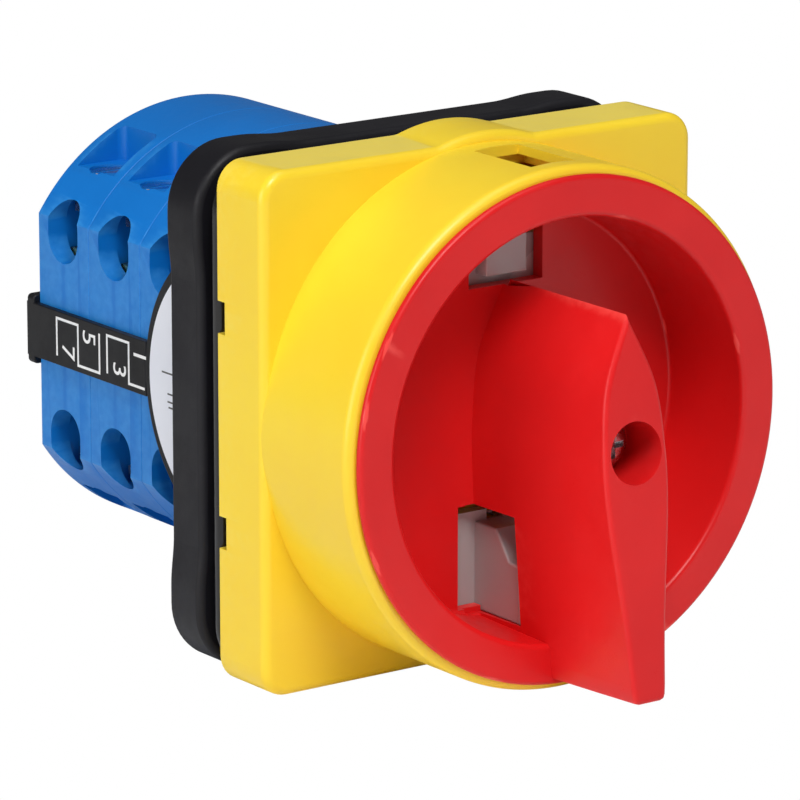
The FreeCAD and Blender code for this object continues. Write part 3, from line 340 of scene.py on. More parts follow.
def new_object(name, mesh):
    """A scene object that takes over the mesh."""
    data = bpy.data.meshes.new(name)
    mesh.to_mesh(data)
    mesh.free()
    thing = bpy.data.objects.new(name, data)
    bpy.context.scene.collection.objects.link(thing)
    return thing


def combine(thing, meshes, operation):
    """Join meshes to a piece, or cut them out of it, for good."""
    for i, mesh in enumerate(meshes):
        tool = new_object(f"{thing.name}_tool{i}", mesh)
        step = thing.modifiers.new("Combine", "BOOLEAN")
        step.operation = operation
        step.solver = "EXACT"
        step.object = tool
        graph = bpy.context.evaluated_depsgraph_get()
        result = bpy.data.meshes.new_from_object(thing.evaluated_get(graph))
        thing.modifiers.clear()
        thing.data = result
        bpy.data.objects.remove(tool)
        weld(thing.data, 0.001)


def weld(data, distance):
    """Join a mesh's points that lie closer together than a distance in millimetres."""
    mesh = bmesh.new()
    mesh.from_mesh(data)
    bmesh.ops.remove_doubles(mesh, verts=mesh.verts, dist=distance * MM)
    bmesh.ops.dissolve_degenerate(mesh, edges=mesh.edges, dist=distance * MM)
    mesh.to_mesh(data)
    mesh.free()


def flat_regions(mesh):
    """The area of the flat region that each face belongs to."""
    area = {}
    seen = set()
    for face in mesh.faces:
        if face in seen:
            continue
        region, waiting = [], [face]
        seen.add(face)
        while waiting:
            here = waiting.pop()
            region.append(here)
            for edge in here.edges:
                for other in edge.link_faces:
                    if other not in seen and here.normal.angle(other.normal, 3.0) < math.radians(0.3):
                        seen.add(other)
                        waiting.append(other)
        total = sum(member.calc_area() for member in region)
        area.update((member, total) for member in region)
    return area


def soften(thing, sharp=32):
    """Weld the mesh and shade it smoothly, with flat faces kept flat and sharp edges kept sharp."""
    mesh = bmesh.new()
    mesh.from_mesh(thing.data)
    bmesh.ops.remove_doubles(mesh, verts=mesh.verts, dist=0.002 * MM)
    bmesh.ops.dissolve_degenerate(mesh, edges=mesh.edges, dist=0.002 * MM)
    mesh.normal_update()
    area = flat_regions(mesh)
    for face in mesh.faces:
        face.smooth = True
    for edge in mesh.edges:
        if len(edge.link_faces) != 2:
            continue
        angle = math.degrees(edge.calc_face_angle(0))
        small, large = sorted(area[face] for face in edge.link_faces)
        edge.smooth = not (angle > sharp or (angle > 1 and large > 8 * small and large > 4 * MM * MM))
    mesh.to_mesh(thing.data)
    mesh.free()


def dress(thing, material, body, slot, *nodes):
    """Give a piece its material, the body it rides on and the CAD nodes it stands for."""
    thing.data.materials.clear()
    thing.data.materials.append(material)
    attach(thing, body)
    if nodes:
        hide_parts(*nodes)
    return thing


# ---- Shader groups ----

def group(name, inputs, outputs):
    """A shader node group with named float inputs, and outputs given as (name, kind)."""
    tree = bpy.data.node_groups.new(name, "ShaderNodeTree")
    for label, value in inputs:
        socket = tree.interface.new_socket(label, in_out="INPUT", socket_type="NodeSocketFloat")
        socket.default_value = value
    for label, kind in outputs:
        tree.interface.new_socket(label, in_out="OUTPUT", socket_type=kind)
    return tree, tree.nodes.new("NodeGroupInput"), tree.nodes.new("NodeGroupOutput")


def noise(tree, scale, detail, source, roughness=0.5):
    """A noise texture on the given vector."""
    node = tree.nodes.new("ShaderNodeTexNoise")
    node.inputs["Detail"].default_value = detail
    node.inputs["Roughness"].default_value = roughness
    if isinstance(scale, (int, float)):
        node.inputs["Scale"].default_value = scale
    else:
        tree.links.new(scale, node.inputs["Scale"])
    tree.links.new(source, node.inputs["Vector"])
    return node


def remap(tree, value, low, high, out_low, out_high):
    """A value that runs smoothly from one range to another."""
    node = tree.nodes.new("ShaderNodeMapRange")
    node.interpolation_type = "SMOOTHSTEP"
    for label, number in (("From Min", low), ("From Max", high), ("To Min", out_low), ("To Max", out_high)):
        node.inputs[label].default_value = number
    tree.links.new(value, node.inputs["Value"])
    return node.outputs["Result"]


def maths(tree, operation, first, second):
    node = tree.nodes.new("ShaderNodeMath")
    node.operation = operation
    for socket, value in zip(node.inputs, (first, second)):
        if isinstance(value, (int, float)):
            socket.default_value = value
        else:
            tree.links.new(value, socket)
    return node.outputs[0]


def moulded_group():
    """Moulded plastic: fine die texture, faint flow marks, finger polish, a random tone and a painted
    highlight on convex edges.
    """
    tree, start, end = group("Moulded skin",
                             (("Grain scale", 9000.0), ("Grain depth", 0.5), ("Gloss spread", 0.1)),
                             (("Height", "NodeSocketFloat"), ("Gloss", "NodeSocketFloat"),
                              ("Tone", "NodeSocketFloat"), ("Edge", "NodeSocketFloat")))
    place = tree.nodes.new("ShaderNodeTexCoord").outputs["Object"]
    grain = noise(tree, start.outputs["Grain scale"], 3, place, 0.6).outputs["Fac"]
    waves = noise(tree, 60, 2, place).outputs["Fac"]
    height = maths(tree, "MULTIPLY", grain, start.outputs["Grain depth"])
    height = maths(tree, "ADD", height, maths(tree, "MULTIPLY", waves, 0.6))
    tree.links.new(height, end.inputs["Height"])
    smudge = remap(tree, noise(tree, 170, 5, place, 0.65).outputs["Fac"], 0.35, 0.7, -0.5, 0.5)
    speck = remap(tree, grain, 0.3, 0.7, -0.25, 0.25)
    gloss = maths(tree, "MULTIPLY", maths(tree, "ADD", smudge, speck), start.outputs["Gloss spread"])
    tree.links.new(gloss, end.inputs["Gloss"])
    tone = remap(tree, noise(tree, 45, 4, place).outputs["Fac"], 0.3, 0.7, 0.0, 1.0)
    tree.links.new(tone, end.inputs["Tone"])
    # Painted highlight mask: convex edges found from pointiness, broken up by fine noise.
    bend = tree.nodes.new("ShaderNodeNewGeometry").outputs["Pointiness"]
    highlight_noise = noise(tree, 900, 4, place).outputs["Fac"]
    edge = remap(tree, maths(tree, "ADD", bend, maths(tree, "MULTIPLY", highlight_noise, 0.06)), 0.56, 0.64, 0.0, 1.0)
    tree.links.new(edge, end.inputs["Edge"])
    return tree


def blend_colour(tree, factor, first, second):
    node = tree.nodes.new("ShaderNodeMix")
    node.data_type = "RGBA"
    tree.links.new(factor, node.inputs["Factor"])
    for socket, value in ((node.inputs[6], first), (node.inputs[7], second)):
        if hasattr(value, "links"):
            tree.links.new(value, socket)
        else:
            socket.default_value = (*value, 1)
    return node.outputs[2]


def shader(name):
    material = bpy.data.materials.new(name)
    material.use_nodes = True
    return material, material.node_tree, material.node_tree.nodes["Principled BSDF"]


MOULDED = moulded_group()


def plastic(name, colour, deep, edge_highlight, roughness, grain_scale=9000, grain_depth=0.5, bump=0.12, specular=0.5,
            subsurface=0.0):
    """A moulded plastic: its colour, a slightly deeper tone in random patches, the paler colour of a painted
    highlight on convex edges, its finish.
    """
    material, tree, surface = shader(name)
    skin = tree.nodes.new("ShaderNodeGroup")
    skin.node_tree = MOULDED
    skin.inputs["Grain scale"].default_value = grain_scale
    skin.inputs["Grain depth"].default_value = grain_depth
    skin.inputs["Gloss spread"].default_value = 0.12
    tone = blend_colour(tree, skin.outputs["Tone"], colour, deep)
    # Painted highlight: the third colour is blended in on convex edges by the Edge mask.
    tree.links.new(blend_colour(tree, skin.outputs["Edge"], tone, edge_highlight), surface.inputs["Base Color"])
    tree.links.new(maths(tree, "ADD", skin.outputs["Gloss"], roughness), surface.inputs["Roughness"])
    relief = tree.nodes.new("ShaderNodeBump")
    relief.inputs["Strength"].default_value = bump
    relief.inputs["Distance"].default_value = 0.05 * MM
    tree.links.new(skin.outputs["Height"], relief.inputs["Height"])
    tree.links.new(relief.outputs["Normal"], surface.inputs["Normal"])
    surface.inputs["Specular IOR Level"].default_value = specular
    surface.inputs["Subsurface Weight"].default_value = subsurface
    surface.inputs["Subsurface Radius"].default_value = (0.6 * MM, 0.5 * MM, 0.4 * MM)
    surface.inputs["Subsurface Scale"].default_value = 1.0
    return material


def metal(name, colour, stain, roughness, scratch=0.25):
    """Plated or bare metal: fine scratches, cloudy plating and a darker stain in random patches."""
    material, tree, surface = shader(name)
    skin = tree.nodes.new("ShaderNodeGroup")
    skin.node_tree = MOULDED
    skin.inputs["Grain scale"].default_value = 5000
    skin.inputs["Grain depth"].default_value = scratch
    skin.inputs["Gloss spread"].default_value = 0.25
    tree.links.new(blend_colour(tree, skin.outputs["Tone"], colour, stain), surface.inputs["Base Color"])
    tree.links.new(maths(tree, "ADD", skin.outputs["Gloss"], roughness), surface.inputs["Roughness"])
    relief = tree.nodes.new("ShaderNodeBump")
    relief.inputs["Strength"].default_value = 0.3
    relief.inputs["Distance"].default_value = 0.03 * MM
    tree.links.new(skin.outputs["Height"], relief.inputs["Height"])
    tree.links.new(relief.outputs["Normal"], surface.inputs["Normal"])
    surface.inputs["Metallic"].default_value = 1.0
    return material


# The third colour of each plastic is its painted highlight on convex edges.
YELLOW = plastic("Yellow cover plastic", (1.0, 0.72, 0.034), (1.0, 0.67, 0.028), (1.0, 0.78, 0.12), 0.36,
                 bump=0.10, subsurface=0.06)
RED = plastic("Red handle plastic", (0.80, 0.014, 0.015), (0.72, 0.010, 0.012), (0.92, 0.07, 0.06), 0.36,
              bump=0.10, specular=0.35, subsurface=0.03)
BLUE = plastic("Blue drum plastic", (0.004, 0.185, 0.62), (0.002, 0.165, 0.57), (0.04, 0.29, 0.72), 0.42,
               bump=0.12, specular=0.35)
BLACK_PLATE = plastic("Black plate plastic", (0.009, 0.0085, 0.012), (0.006, 0.0057, 0.008),
                      (0.04, 0.038, 0.043), 0.5, specular=0.3, grain_scale=6000, grain_depth=0.9, bump=0.3)
BLACK_RUBBER = plastic("Black gasket rubber", (0.008, 0.008, 0.008), (0.012, 0.011, 0.011),
                       (0.03, 0.03, 0.03), 0.22, grain_depth=0.3, bump=0.15)
BLACK_STRIP = plastic("Black strip plastic", (0.008, 0.008, 0.010), (0.006, 0.006, 0.007),
                      (0.035, 0.035, 0.04), 0.5, specular=0.3, bump=0.2)
GREY_SLIDER = plastic("Grey slider nylon", (0.50, 0.47, 0.46), (0.44, 0.41, 0.41), (0.62, 0.60, 0.59), 0.38,
                      subsurface=0.3)
WHITE_LABEL = plastic("White label film", (0.86, 0.88, 0.95), (0.80, 0.82, 0.90), (0.9, 0.9, 0.95),
                      0.45, bump=0.05)
PRINT_WHITE = plastic("White marking ink", (0.80, 0.83, 0.86), (0.68, 0.72, 0.76), (0.9, 0.9, 0.9),
                      0.6, bump=0.05)
PRINT_BLACK = plastic("Black marking ink", (0.05, 0.05, 0.07), (0.08, 0.08, 0.10), (0.1, 0.1, 0.1),
                      0.6, bump=0.05)
NATURAL = plastic("Natural nylon", (0.78, 0.74, 0.64), (0.70, 0.66, 0.56), (0.86, 0.83, 0.75), 0.45,
                  subsurface=0.1)
ZINC = metal("Bright zinc plate", (0.72, 0.73, 0.75), (0.50, 0.50, 0.52), 0.28)
SPRING = metal("Drawn spring wire", (0.48, 0.48, 0.50), (0.34, 0.34, 0.36), 0.34)
BRASS = metal("Stamped brass", (0.80, 0.60, 0.28), (0.62, 0.45, 0.20), 0.32)


# ---- Pieces in front of the panel ----

def cover_outline():
    """The cover seen from the front: a rounded square with a low dome on its top and bottom edges."""
    outline = []
    square = rounded_rectangle(COVER_HALF, COVER_HALF, COVER_CORNER, 10)
    for (x, z), (next_x, next_z) in zip(square, square[1:] + square[:1]):
        steps = max(1, round(math.hypot(next_x - x, next_z - z) / 0.6))
        outline += [(x + (next_x - x) * i / steps, z + (next_z - z) * i / steps) for i in range(steps)]
    domed = []
    for x, z in outline:
        across = x - BUMP_OFFSET
        if abs(z) > COVER_HALF - 0.01 and abs(across) < BUMP_RADIUS:
            crown = COVER_HALF + BUMP_HEIGHT - BUMP_RADIUS + math.sqrt(BUMP_RADIUS ** 2 - across ** 2)
            z = math.copysign(max(abs(z), crown), z)
        domed.append((x, z))
    return domed


def on_circle(radius, outline, y):
    """A ring of points on a circle, each at the bearing of its outline point."""
    ring = []
    for x, z in outline:
        reach = math.hypot(x, z)
        ring.append((radius * x / reach, y, radius * z / reach))
    return ring


def make_cover():
    """The yellow cover: a square plate with a dome on its top and bottom edges, and a tall round collar."""
    face = COVER_BACK - COVER_THICKNESS
    outline = cover_outline()
    inner = COVER_HALF - COVER_WALL

    def fillet_depth(inset):
        return COVER_EDGE - math.sqrt(max(0.0, COVER_EDGE ** 2 - (COVER_EDGE - min(inset, COVER_EDGE)) ** 2))

    foot = []
    for x, z in outline:
        reach = math.hypot(x, z)
        left = max(0.05, (1 - COLLAR_RADIUS / reach) * max(abs(x), abs(z)))
        foot.append((COLLAR_RADIUS * x / reach, face + fillet_depth(left), COLLAR_RADIUS * z / reach))
    rings = [[(x, COVER_BACK, z) for x, z in shrunk(outline, 0.15)],
             [(x, COVER_BACK - 0.15, z) for x, z in outline]]
    for step in range(9):
        inset = COVER_EDGE * (1 - math.cos(math.pi / 2 * step / 8))
        ring = []
        for (x, z), base in zip(shrunk(outline, inset), foot):
            inside = math.hypot(x, z) < COLLAR_RADIUS
            ring.append(base if inside else (x, face + fillet_depth(inset), z))
        rings.append(ring)
    rings.append(foot)
    rings.append(on_circle(COLLAR_RADIUS, outline, COLLAR_FRONT + COLLAR_LIP))
    for step in range(1, 9):
        turn = math.pi / 2 * step / 8
        rings.append(on_circle(COLLAR_RADIUS - COLLAR_LIP * (1 - math.cos(turn)), outline,
                               COLLAR_FRONT + COLLAR_LIP * (1 - math.sin(turn))))
    bore = COLLAR_RADIUS - COLLAR_WALL
    rings += [on_circle(bore + 0.25, outline, COLLAR_FRONT), on_circle(bore, outline, COLLAR_FRONT + 0.25),
              on_circle(bore, outline, face), on_circle(HUB_OPENING, outline, face),
              on_circle(HUB_OPENING, outline, face + COVER_SKIN)]
    for y in (face + COVER_SKIN, COVER_BACK):
        rings.append([(x * inner / max(abs(x), abs(z)), y, z * inner / max(abs(x), abs(z)))
                      for x, z in outline])
    cover = new_object("cover", stacked(rings, closed=True))
    cuts = [brick((-WINDOW_HALF, WINDOW_HALF), (face - WINDOW_SILL - WINDOW_LENGTH, face - WINDOW_SILL),
                  (COLLAR_RADIUS - 5, COLLAR_RADIUS + 3)),
            brick((-WINDOW_HALF - 1.6, WINDOW_HALF + 1.6),
                  (face - WINDOW_SILL - WINDOW_LENGTH - 0.9, face - WINDOW_SILL + 0.9),
                  (COLLAR_RADIUS - 4.6, COLLAR_RADIUS - 1.3))]
    for side_x in (-1, 1):
        for side_z in (-1, 1):
            x_span = sorted((side_x * (inner - 0.6), side_x * (COVER_HALF + 1)))
            middle = side_z * NOTCH_LEVEL
            cuts.append(brick(x_span, (COVER_BACK - NOTCH_DEPTH, COVER_BACK + 1),
                              (middle - NOTCH_HALF, middle + NOTCH_HALF)))
    combine(cover, cuts, "DIFFERENCE")
    soften(cover)
    dress(cover, YELLOW, "housing", "yellow_plastic", "escutcheon")


def smooth_width(stations, z):
    """The lever's half width at a height, on a smooth curve through (height, half width) stations."""
    for i in range(len(stations) - 1):
        (low, first), (high, last) = stations[i], stations[i + 1]
        if z <= high:
            break
    share = (z - low) / (high - low)
    before = stations[max(i - 1, 0)]
    after = stations[min(i + 2, len(stations) - 1)]
    start = (last - before[1]) / (high - before[0]) * (high - low)
    end = (after[1] - first) / (after[0] - low) * (high - low)
    square, cube = share ** 2, share ** 3
    return ((2 * cube - 3 * square + 1) * first + (cube - 2 * square + share) * start
            + (3 * square - 2 * cube) * last + (cube - square) * end)


def lever_outline(stations):
    """The lever seen from the front, anticlockwise: a pointed bow, a waist and a narrow tail."""
    low, high = stations[0][0], stations[-1][0]
    count = 44
    right = []
    for i in range(count):
        z = low + (high - low) * (i / count)
        right.append((max(LEVER_TIP, smooth_width(stations, z)), z))
    tail = right[0][0]
    corner = [(tail - 0.8, low), (tail - 0.25, low + 0.2)]
    right = [*corner, (tail, low + 0.75), *right[2:]]
    return [*right, (0.05, high), *[(-x, z) for x, z in reversed(right)]]


def lever_mesh():
    """The lever as rings from inside the cup's floor to its tilted front face."""
    front = RING_FRONT - LEVER_RISE
    base = lever_outline(((-LEVER_TAIL - 0.2, TAIL_HALF), *LEVER_BASE, (LEVER_BOW, 0)))
    face = lever_outline(((0.7 - LEVER_TAIL, TAIL_FACE_HALF), *LEVER_FACE, (LEVER_BOW, 0)))
    root = FLOOR_FRONT + 0.6
    rings = []

    def ring(share, inset, back=0.0):
        blended = [((1 - share) * a[0] + share * b[0], (1 - share) * a[1] + share * b[1])
                   for a, b in zip(base, face)]
        points = []
        for x, z in shrunk(blended, inset):
            tip = front + z * math.tan(LEVER_TILT) + back
            points.append((x, root + (tip - root) * share if share < 1 else tip, z))
        return points
    for share in (0, 0.25, 0.5, 0.75):
        rings.append(ring(share, 0))
    for along, inset in reversed(edge_steps(LEVER_EDGE, 6)):
        rings.append(ring(1, inset, along))
    return stacked(rings)


def make_handle():
    """The red ring, cup and lever in one moulding."""
    skirt = COLLAR_RADIUS - COLLAR_WALL - FIT_GAP
    mouth = RING_RADIUS - RING_WIDTH
    floor_back = FLOOR_FRONT + FLOOR_THICKNESS
    profile = rounded([(0, FLOOR_FRONT, 0), (0, floor_back, 0), (skirt, floor_back, 0.3),
                       (skirt, RING_FRONT + FLANGE, 0.1), (RING_RADIUS, RING_FRONT + FLANGE, 0.2),
                       (RING_RADIUS, RING_FRONT, 0.6), (mouth, RING_FRONT, 0.7),
                       (FLOOR_RADIUS, FLOOR_FRONT, 0.5)], 6)
    handle = new_object("handle", turned(profile))
    lever = new_object("lever_blank", lever_mesh())
    trim = turned([(skirt, RING_FRONT + 0.5), (skirt, -5), (60, -5), (60, RING_FRONT - 3.0),
                   (LEVER_TAIL + 0.2, RING_FRONT - 3.0), (RING_RADIUS + 0.1, RING_FRONT - 0.8),
                   (RING_RADIUS - 0.2, RING_FRONT + 0.5)])
    combine(lever, [trim], "DIFFERENCE")
    lever_part = bmesh.new()
    lever_part.from_mesh(lever.data)
    bpy.data.objects.remove(lever)
    hub = slab(disc_outline(HUB_RADIUS), floor_back - 0.5, HANDLE_HIGH[1], 0, 0.3)
    combine(handle, [lever_part, hub], "UNION")
    top = RING_FRONT - LEVER_RISE
    cavity, window = (-LOCK_CAVITY_HALF, LOCK_CAVITY_HALF), FLOOR_FRONT - PADLOCK_RISE
    tongue = (-TONGUE_SLOT_HALF, TONGUE_SLOT_HALF)
    cuts = [slab(disc_outline(WELL_RADIUS, 96), top - 8, SCREW_LOW[1] + SCREW_HEAD),
            slab(disc_outline(SHANK_HOLE, 48), top - 2, top + 13),
            brick(cavity, (window, floor_back + 1), LOCK_CAVITY),
            brick((-6, 6), (window + 0.1, FLOOR_FRONT + 0.5), (-24.7, -PADLOCK_TOP)),
            brick((-PADLOCK_HALF, PADLOCK_HALF), (FLOOR_FRONT - 1, floor_back + 1.1),
                  (-24.0, -PADLOCK_TOP - 0.1)),
            brick((-FINGER_SLOT_HALF, FINGER_SLOT_HALF), (FLOOR_FRONT - 0.9, floor_back + 1.2), FINGER_SLOT),
            brick(tongue, (FLOOR_FRONT - 1.2, floor_back + 1.4), (TONGUE_SLOT_START, RING_RADIUS + 2)),
            brick((0.1 - TONGUE_SLOT_HALF, TONGUE_SLOT_HALF - 0.1), (FLOOR_FRONT - 8.0, floor_back + 1.6),
                  (FLOOR_RADIUS + 1.7, RING_RADIUS + 2)),
            brick((-SHAFT_HALF, SHAFT_HALF), (top + 12, 0), (-SHAFT_HALF, SHAFT_HALF))]
    combine(handle, cuts, "DIFFERENCE")
    soften(handle)
    dress(handle, RED, "rotor", "red_plastic", "handle")


def make_slider():
    """The grey lock slider: its plate, the tab behind the padlock window and the tongue for the collar."""
    front = FLOOR_FRONT + FLOOR_THICKNESS + 0.2
    back = SLIDER_HIGH[1]
    low, high = SLIDER_LOW[2], SLIDER_TOP
    outline = rounded([(-SLIDER_HALF, low, 1.2), (SLIDER_HALF, low, 1.2), (SLIDER_HALF, high, 1.2),
                       (-SLIDER_HALF, high, 1.2)], 5)
    slider = new_object("slider", slab(outline, front, back, 0.2, 0.2))
    spring_low, spring_high = span("lock_spring")
    spring_half = spring_high[0] + 0.3
    slot = rounded([(-SLIDER_SLOT_HALF, SLIDER_SLOT[0], 1), (SLIDER_SLOT_HALF, SLIDER_SLOT[0], 1),
                    (SLIDER_SLOT_HALF, SLIDER_SLOT[1], 1), (-SLIDER_SLOT_HALF, SLIDER_SLOT[1], 1)])
    spring_room = brick((-spring_half, spring_half), (front - 1.1, back + 1.1), (spring_low[2], -12))
    combine(slider, [slab(slot, front - 1, back + 1), spring_room], "DIFFERENCE")
    window_back = COVER_BACK - COVER_THICKNESS - WINDOW_SILL
    arm = (window_back - 2.2, window_back - 0.4)
    rim = SLIDER_HIGH[2]
    tab = side_slab([(front - 0.3 - TAB_RISE, low), (front + 0.5, low), (front + 0.5, TAB_RAMP[0]),
                     (front - 4.2, TAB_RAMP[0]), (front - 6.8, TAB_RAMP[1]), (front - TAB_RISE, TAB_RAMP[2])],
                    -TAB_HALF, TAB_HALF, 0.25)
    width = (-TAB_HALF, TAB_HALF)
    parts = [brick(width, arm, (high - 4, rim), 0.2), brick(width, (arm[0], back), (high - 4, high), 0.2),
             brick(width, (arm[0] - 8, arm[0] + 0.5), (rim - 1.7, rim), 0.2), tab]
    combine(slider, parts, "UNION")
    soften(slider)
    dress(slider, GREY_SLIDER, "lock", "grey_slider", "lock_slider")


def make_handle_screw():
    """A pan-head screw with a cross recess at the bottom of the lever's well."""
    radius = SCREW_HIGH[0]
    front, back = SCREW_LOW[1], SCREW_HIGH[1]
    seat = front + SCREW_HEAD
    profile = rounded([(0, front, 0), (0, back, 0), (1.5, back, 0.3), (SCREW_SHANK, back - 0.6, 0.2),
                       (SCREW_SHANK, seat, 0),
                       (radius, seat, 0.15), (radius, front + 0.8, 0.5), (1.5, front, 1.2)], 5)
    screw = new_object("lever_screw", turned(profile, 96))
    depth = (front - 1, front + 1.0)
    cuts = [brick((-CROSS_HALF, CROSS_HALF), depth, (-CROSS_WIDTH, CROSS_WIDTH)),
            brick((-CROSS_WIDTH, CROSS_WIDTH), depth, (-CROSS_HALF, CROSS_HALF))]
    combine(screw, cuts, "DIFFERENCE")
    soften(screw)
    dress(screw, ZINC, "rotor", "zinc_steel", "handle_screw")


def plate_outline():
    """The mounting plate seen from the front: its corners stand out a little past its straight sides."""
    outline = []
    square = rounded_rectangle(PLATE_HALF, PLATE_HALF, BASE_CORNER, 14)
    for (x, z), (next_x, next_z) in zip(square, square[1:] + square[:1]):
        steps = max(1, round(math.hypot(next_x - x, next_z - z) / 1.0))
        outline += [(x + (next_x - x) * i / steps, z + (next_z - z) * i / steps) for i in range(steps)]
    eared = []
    for x, z in outline:
        along = min(abs(x), abs(z))
        share = min(1.0, max(0.0, (along - 16) / 6))
        inset = CORNER_EAR * (1 - share * share * (3 - 2 * share))
        if abs(x) > abs(z):
            x -= math.copysign(inset, x)
        else:
            z -= math.copysign(inset, z)
        eared.append((x, z))
    return eared


def make_plate():
    """The black mounting plate, with a groove round its front and four panel holes."""
    plate = new_object("plate", slab(plate_outline(), -BASE_THICKNESS, 0, 0.9, 0.5))
    neck = PLATE_HALF - NECK_INSET
    spigot = COVER_HALF - COVER_WALL - FIT_GAP
    front = PLATE_LOW[1]
    spigot_front = front + SPIGOT_HEIGHT
    parts = [slab(rounded_rectangle(neck, neck, NECK_CORNER, 10), -BASE_THICKNESS - GROOVE_WIDTH, -1),
             slab(rounded_rectangle(spigot, spigot, SPIGOT_CORNER), spigot_front, -1, 0.4),
             slab(disc_outline(BOSS_RADIUS), front, -1, 0.3)]
    combine(plate, parts, "UNION")
    cuts = [slab(disc_outline(SHAFT_HOLE, 64), front - 1, 1),
            slab(disc_outline(BOSS_BORE, 64), front - 1, front + BOSS_BORE_DEPTH)]
    for hole_x in (-BOLT_SPACING / 2, BOLT_SPACING / 2):
        for hole_z in (-BOLT_SPACING / 2, BOLT_SPACING / 2):
            cuts.append(slab(disc_outline(BOLT_HOLE, 48, (hole_x, hole_z)), front, 1))
            cuts.append(slab(disc_outline(SCREW_HEAD_HOLE, 48, (hole_x, hole_z)), front, SCREW_HEAD_FLOOR))
    combine(plate, cuts, "DIFFERENCE")
    soften(plate)
    dress(plate, BLACK_PLATE, "housing", "black_plate", "mounting_plate")


def make_gasket():
    """The glossy band between the plate and the cover, with a soft round outer edge."""
    outline = rounded_rectangle(GASKET_HALF, GASKET_HALF, GASKET_CORNER, 12)
    band = new_object("gasket", slab(outline, GASKET_LOW[1], GASKET_HIGH[1], 0.75, 0.75))
    inner = COVER_HALF - COVER_WALL - FIT_GAP / 2
    opening = rounded_rectangle(inner, inner, SPIGOT_CORNER)
    combine(band, [slab(opening, GASKET_LOW[1] - 1, GASKET_HIGH[1] + 1)], "DIFFERENCE")
    soften(band)
    dress(band, BLACK_RUBBER, "housing", "black_gasket", "front_gasket")


# ---- The blue drum behind the panel ----

def drum_outline():
    """Round, with a flat on each side; it runs anticlockwise."""
    corner = math.asin(DRUM_FLAT / DRUM_RADIUS)
    steps = 60
    top = [(DRUM_RADIUS * math.sin(corner - 2 * corner * i / steps),
            DRUM_RADIUS * math.cos(corner - 2 * corner * i / steps)) for i in range(steps + 1)]
    return top + [(-x, -z) for x, z in top]


def mouth_outline(middle, low, high, half):
    """An oblong in Y and Z with round ends."""
    radius = half * 0.97
    return rounded([(middle - half, low, radius), (middle + half, low, radius),
                    (middle + half, high, radius), (middle - half, high, radius)], 12)


def recess(x_span, y_span, z_span, corner):
    """A recess cut down from the drum's crown, with rounded vertical corners."""
    outline = rounded([(x_span[0], y_span[0], corner), (x_span[1], y_span[0], corner),
                       (x_span[1], y_span[1], corner), (x_span[0], y_span[1], corner)], 6)
    return stacked([[(x, y, z) for x, y in outline] for z in z_span])


def make_slice(name, low, high, node, entries):
    """One slice of the drum; a contact deck also has four wire entries and four screw recesses."""
    piece = new_object(name, slab(drum_outline(), low, high, 0.15, 0.15))
    cuts = [slab(disc_outline(SHAFT_HOLE, 48), low - 1, high + 1)]
    if entries:
        middle = low + DECK_MIDDLE
        for side_x in (-1, 1):
            for side_z in (-1, 1):
                level = sorted((side_z * ENTRY_SPAN[0], side_z * ENTRY_SPAN[1]))
                mouth = mouth_outline(middle, level[0], level[1], ENTRY_HALF)
                x_mouth = sorted((side_x * (DRUM_FLAT - MOUTH_DEPTH), side_x * (DRUM_FLAT + 3)))
                x_room = sorted((side_x * ROOM_START, side_x * (DRUM_FLAT - MOUTH_DEPTH + 0.1)))
                cuts.append(side_slab(mouth, *x_mouth))
                cuts.append(brick(x_room, (middle - ENTRY_HALF, middle + ENTRY_HALF), level))
                x_recess = sorted((side_x * RECESS_SPAN[0], side_x * RECESS_SPAN[1]))
                z_recess = sorted((side_z * RECESS_FLOOR, side_z * 29.0))
                cuts.append(recess(x_recess, (middle - RECESS_HALF, middle + RECESS_HALF), z_recess, 1.0))
                z_seat = sorted((side_z * SEAT_FLOOR, side_z * 21.5))
                seat = disc_outline(SEAT_RADIUS, 40, (side_x * SEAT_CENTRE, middle))
                cuts.append(stacked([[(x, y, z) for x, y in seat] for z in z_seat]))
    combine(piece, cuts, "DIFFERENCE")
    soften(piece)
    dress(piece, BLUE, "housing", "blue_plastic", node)


def make_drum():
    """The blue drum: its front slice and the contact decks."""
    make_slice("index_slice", INDEX_LOW[1], INDEX_HIGH[1], "index_housing", False)
    for deck, (low, high) in enumerate(DECK_SPANS, start=1):
        make_slice(f"deck_{deck}", low[1], high[1], f"contact_deck_{deck}", True)


# ---- Marking strips and label ----

def printed_line(points, width, skin, side):
    """A printed line through (y, z) points on the flank, with square corners."""
    thickness = side * PRINT_THICKNESS
    x_span = sorted((skin - thickness, skin + thickness))
    meshes = []
    for start, end in zip(points, points[1:]):
        y_span = sorted((start[0], end[0]))
        z_span = sorted((start[1], end[1]))
        meshes.append(brick(x_span, (y_span[0] - width / 2, y_span[1] + width / 2),
                            (z_span[0] - width / 2, z_span[1] + width / 2)))
    return meshes


def printed_digit(text, place, height, skin, side):
    """A digit that lies on the flank, turned a quarter turn so that its top points to the front."""
    curve = bpy.data.curves.new(f"digit_{text}", "FONT")
    curve.body = text
    curve.size = height * MM * 1.42
    curve.align_x = "CENTER"
    curve.align_y = "CENTER"
    curve.extrude = PRINT_THICKNESS * MM
    digit = bpy.data.objects.new(f"digit_{text}", curve)
    bpy.context.scene.collection.objects.link(digit)
    turn = Matrix(((0, 0, side), (0, -1, 0), (side, 0, 0)))
    digit.matrix_world = Matrix.Translation(Vector((skin, place[0], place[1])) * MM) @ turn.to_4x4()
    digit.data.materials.append(PRINT_WHITE)
    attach(digit, "housing")


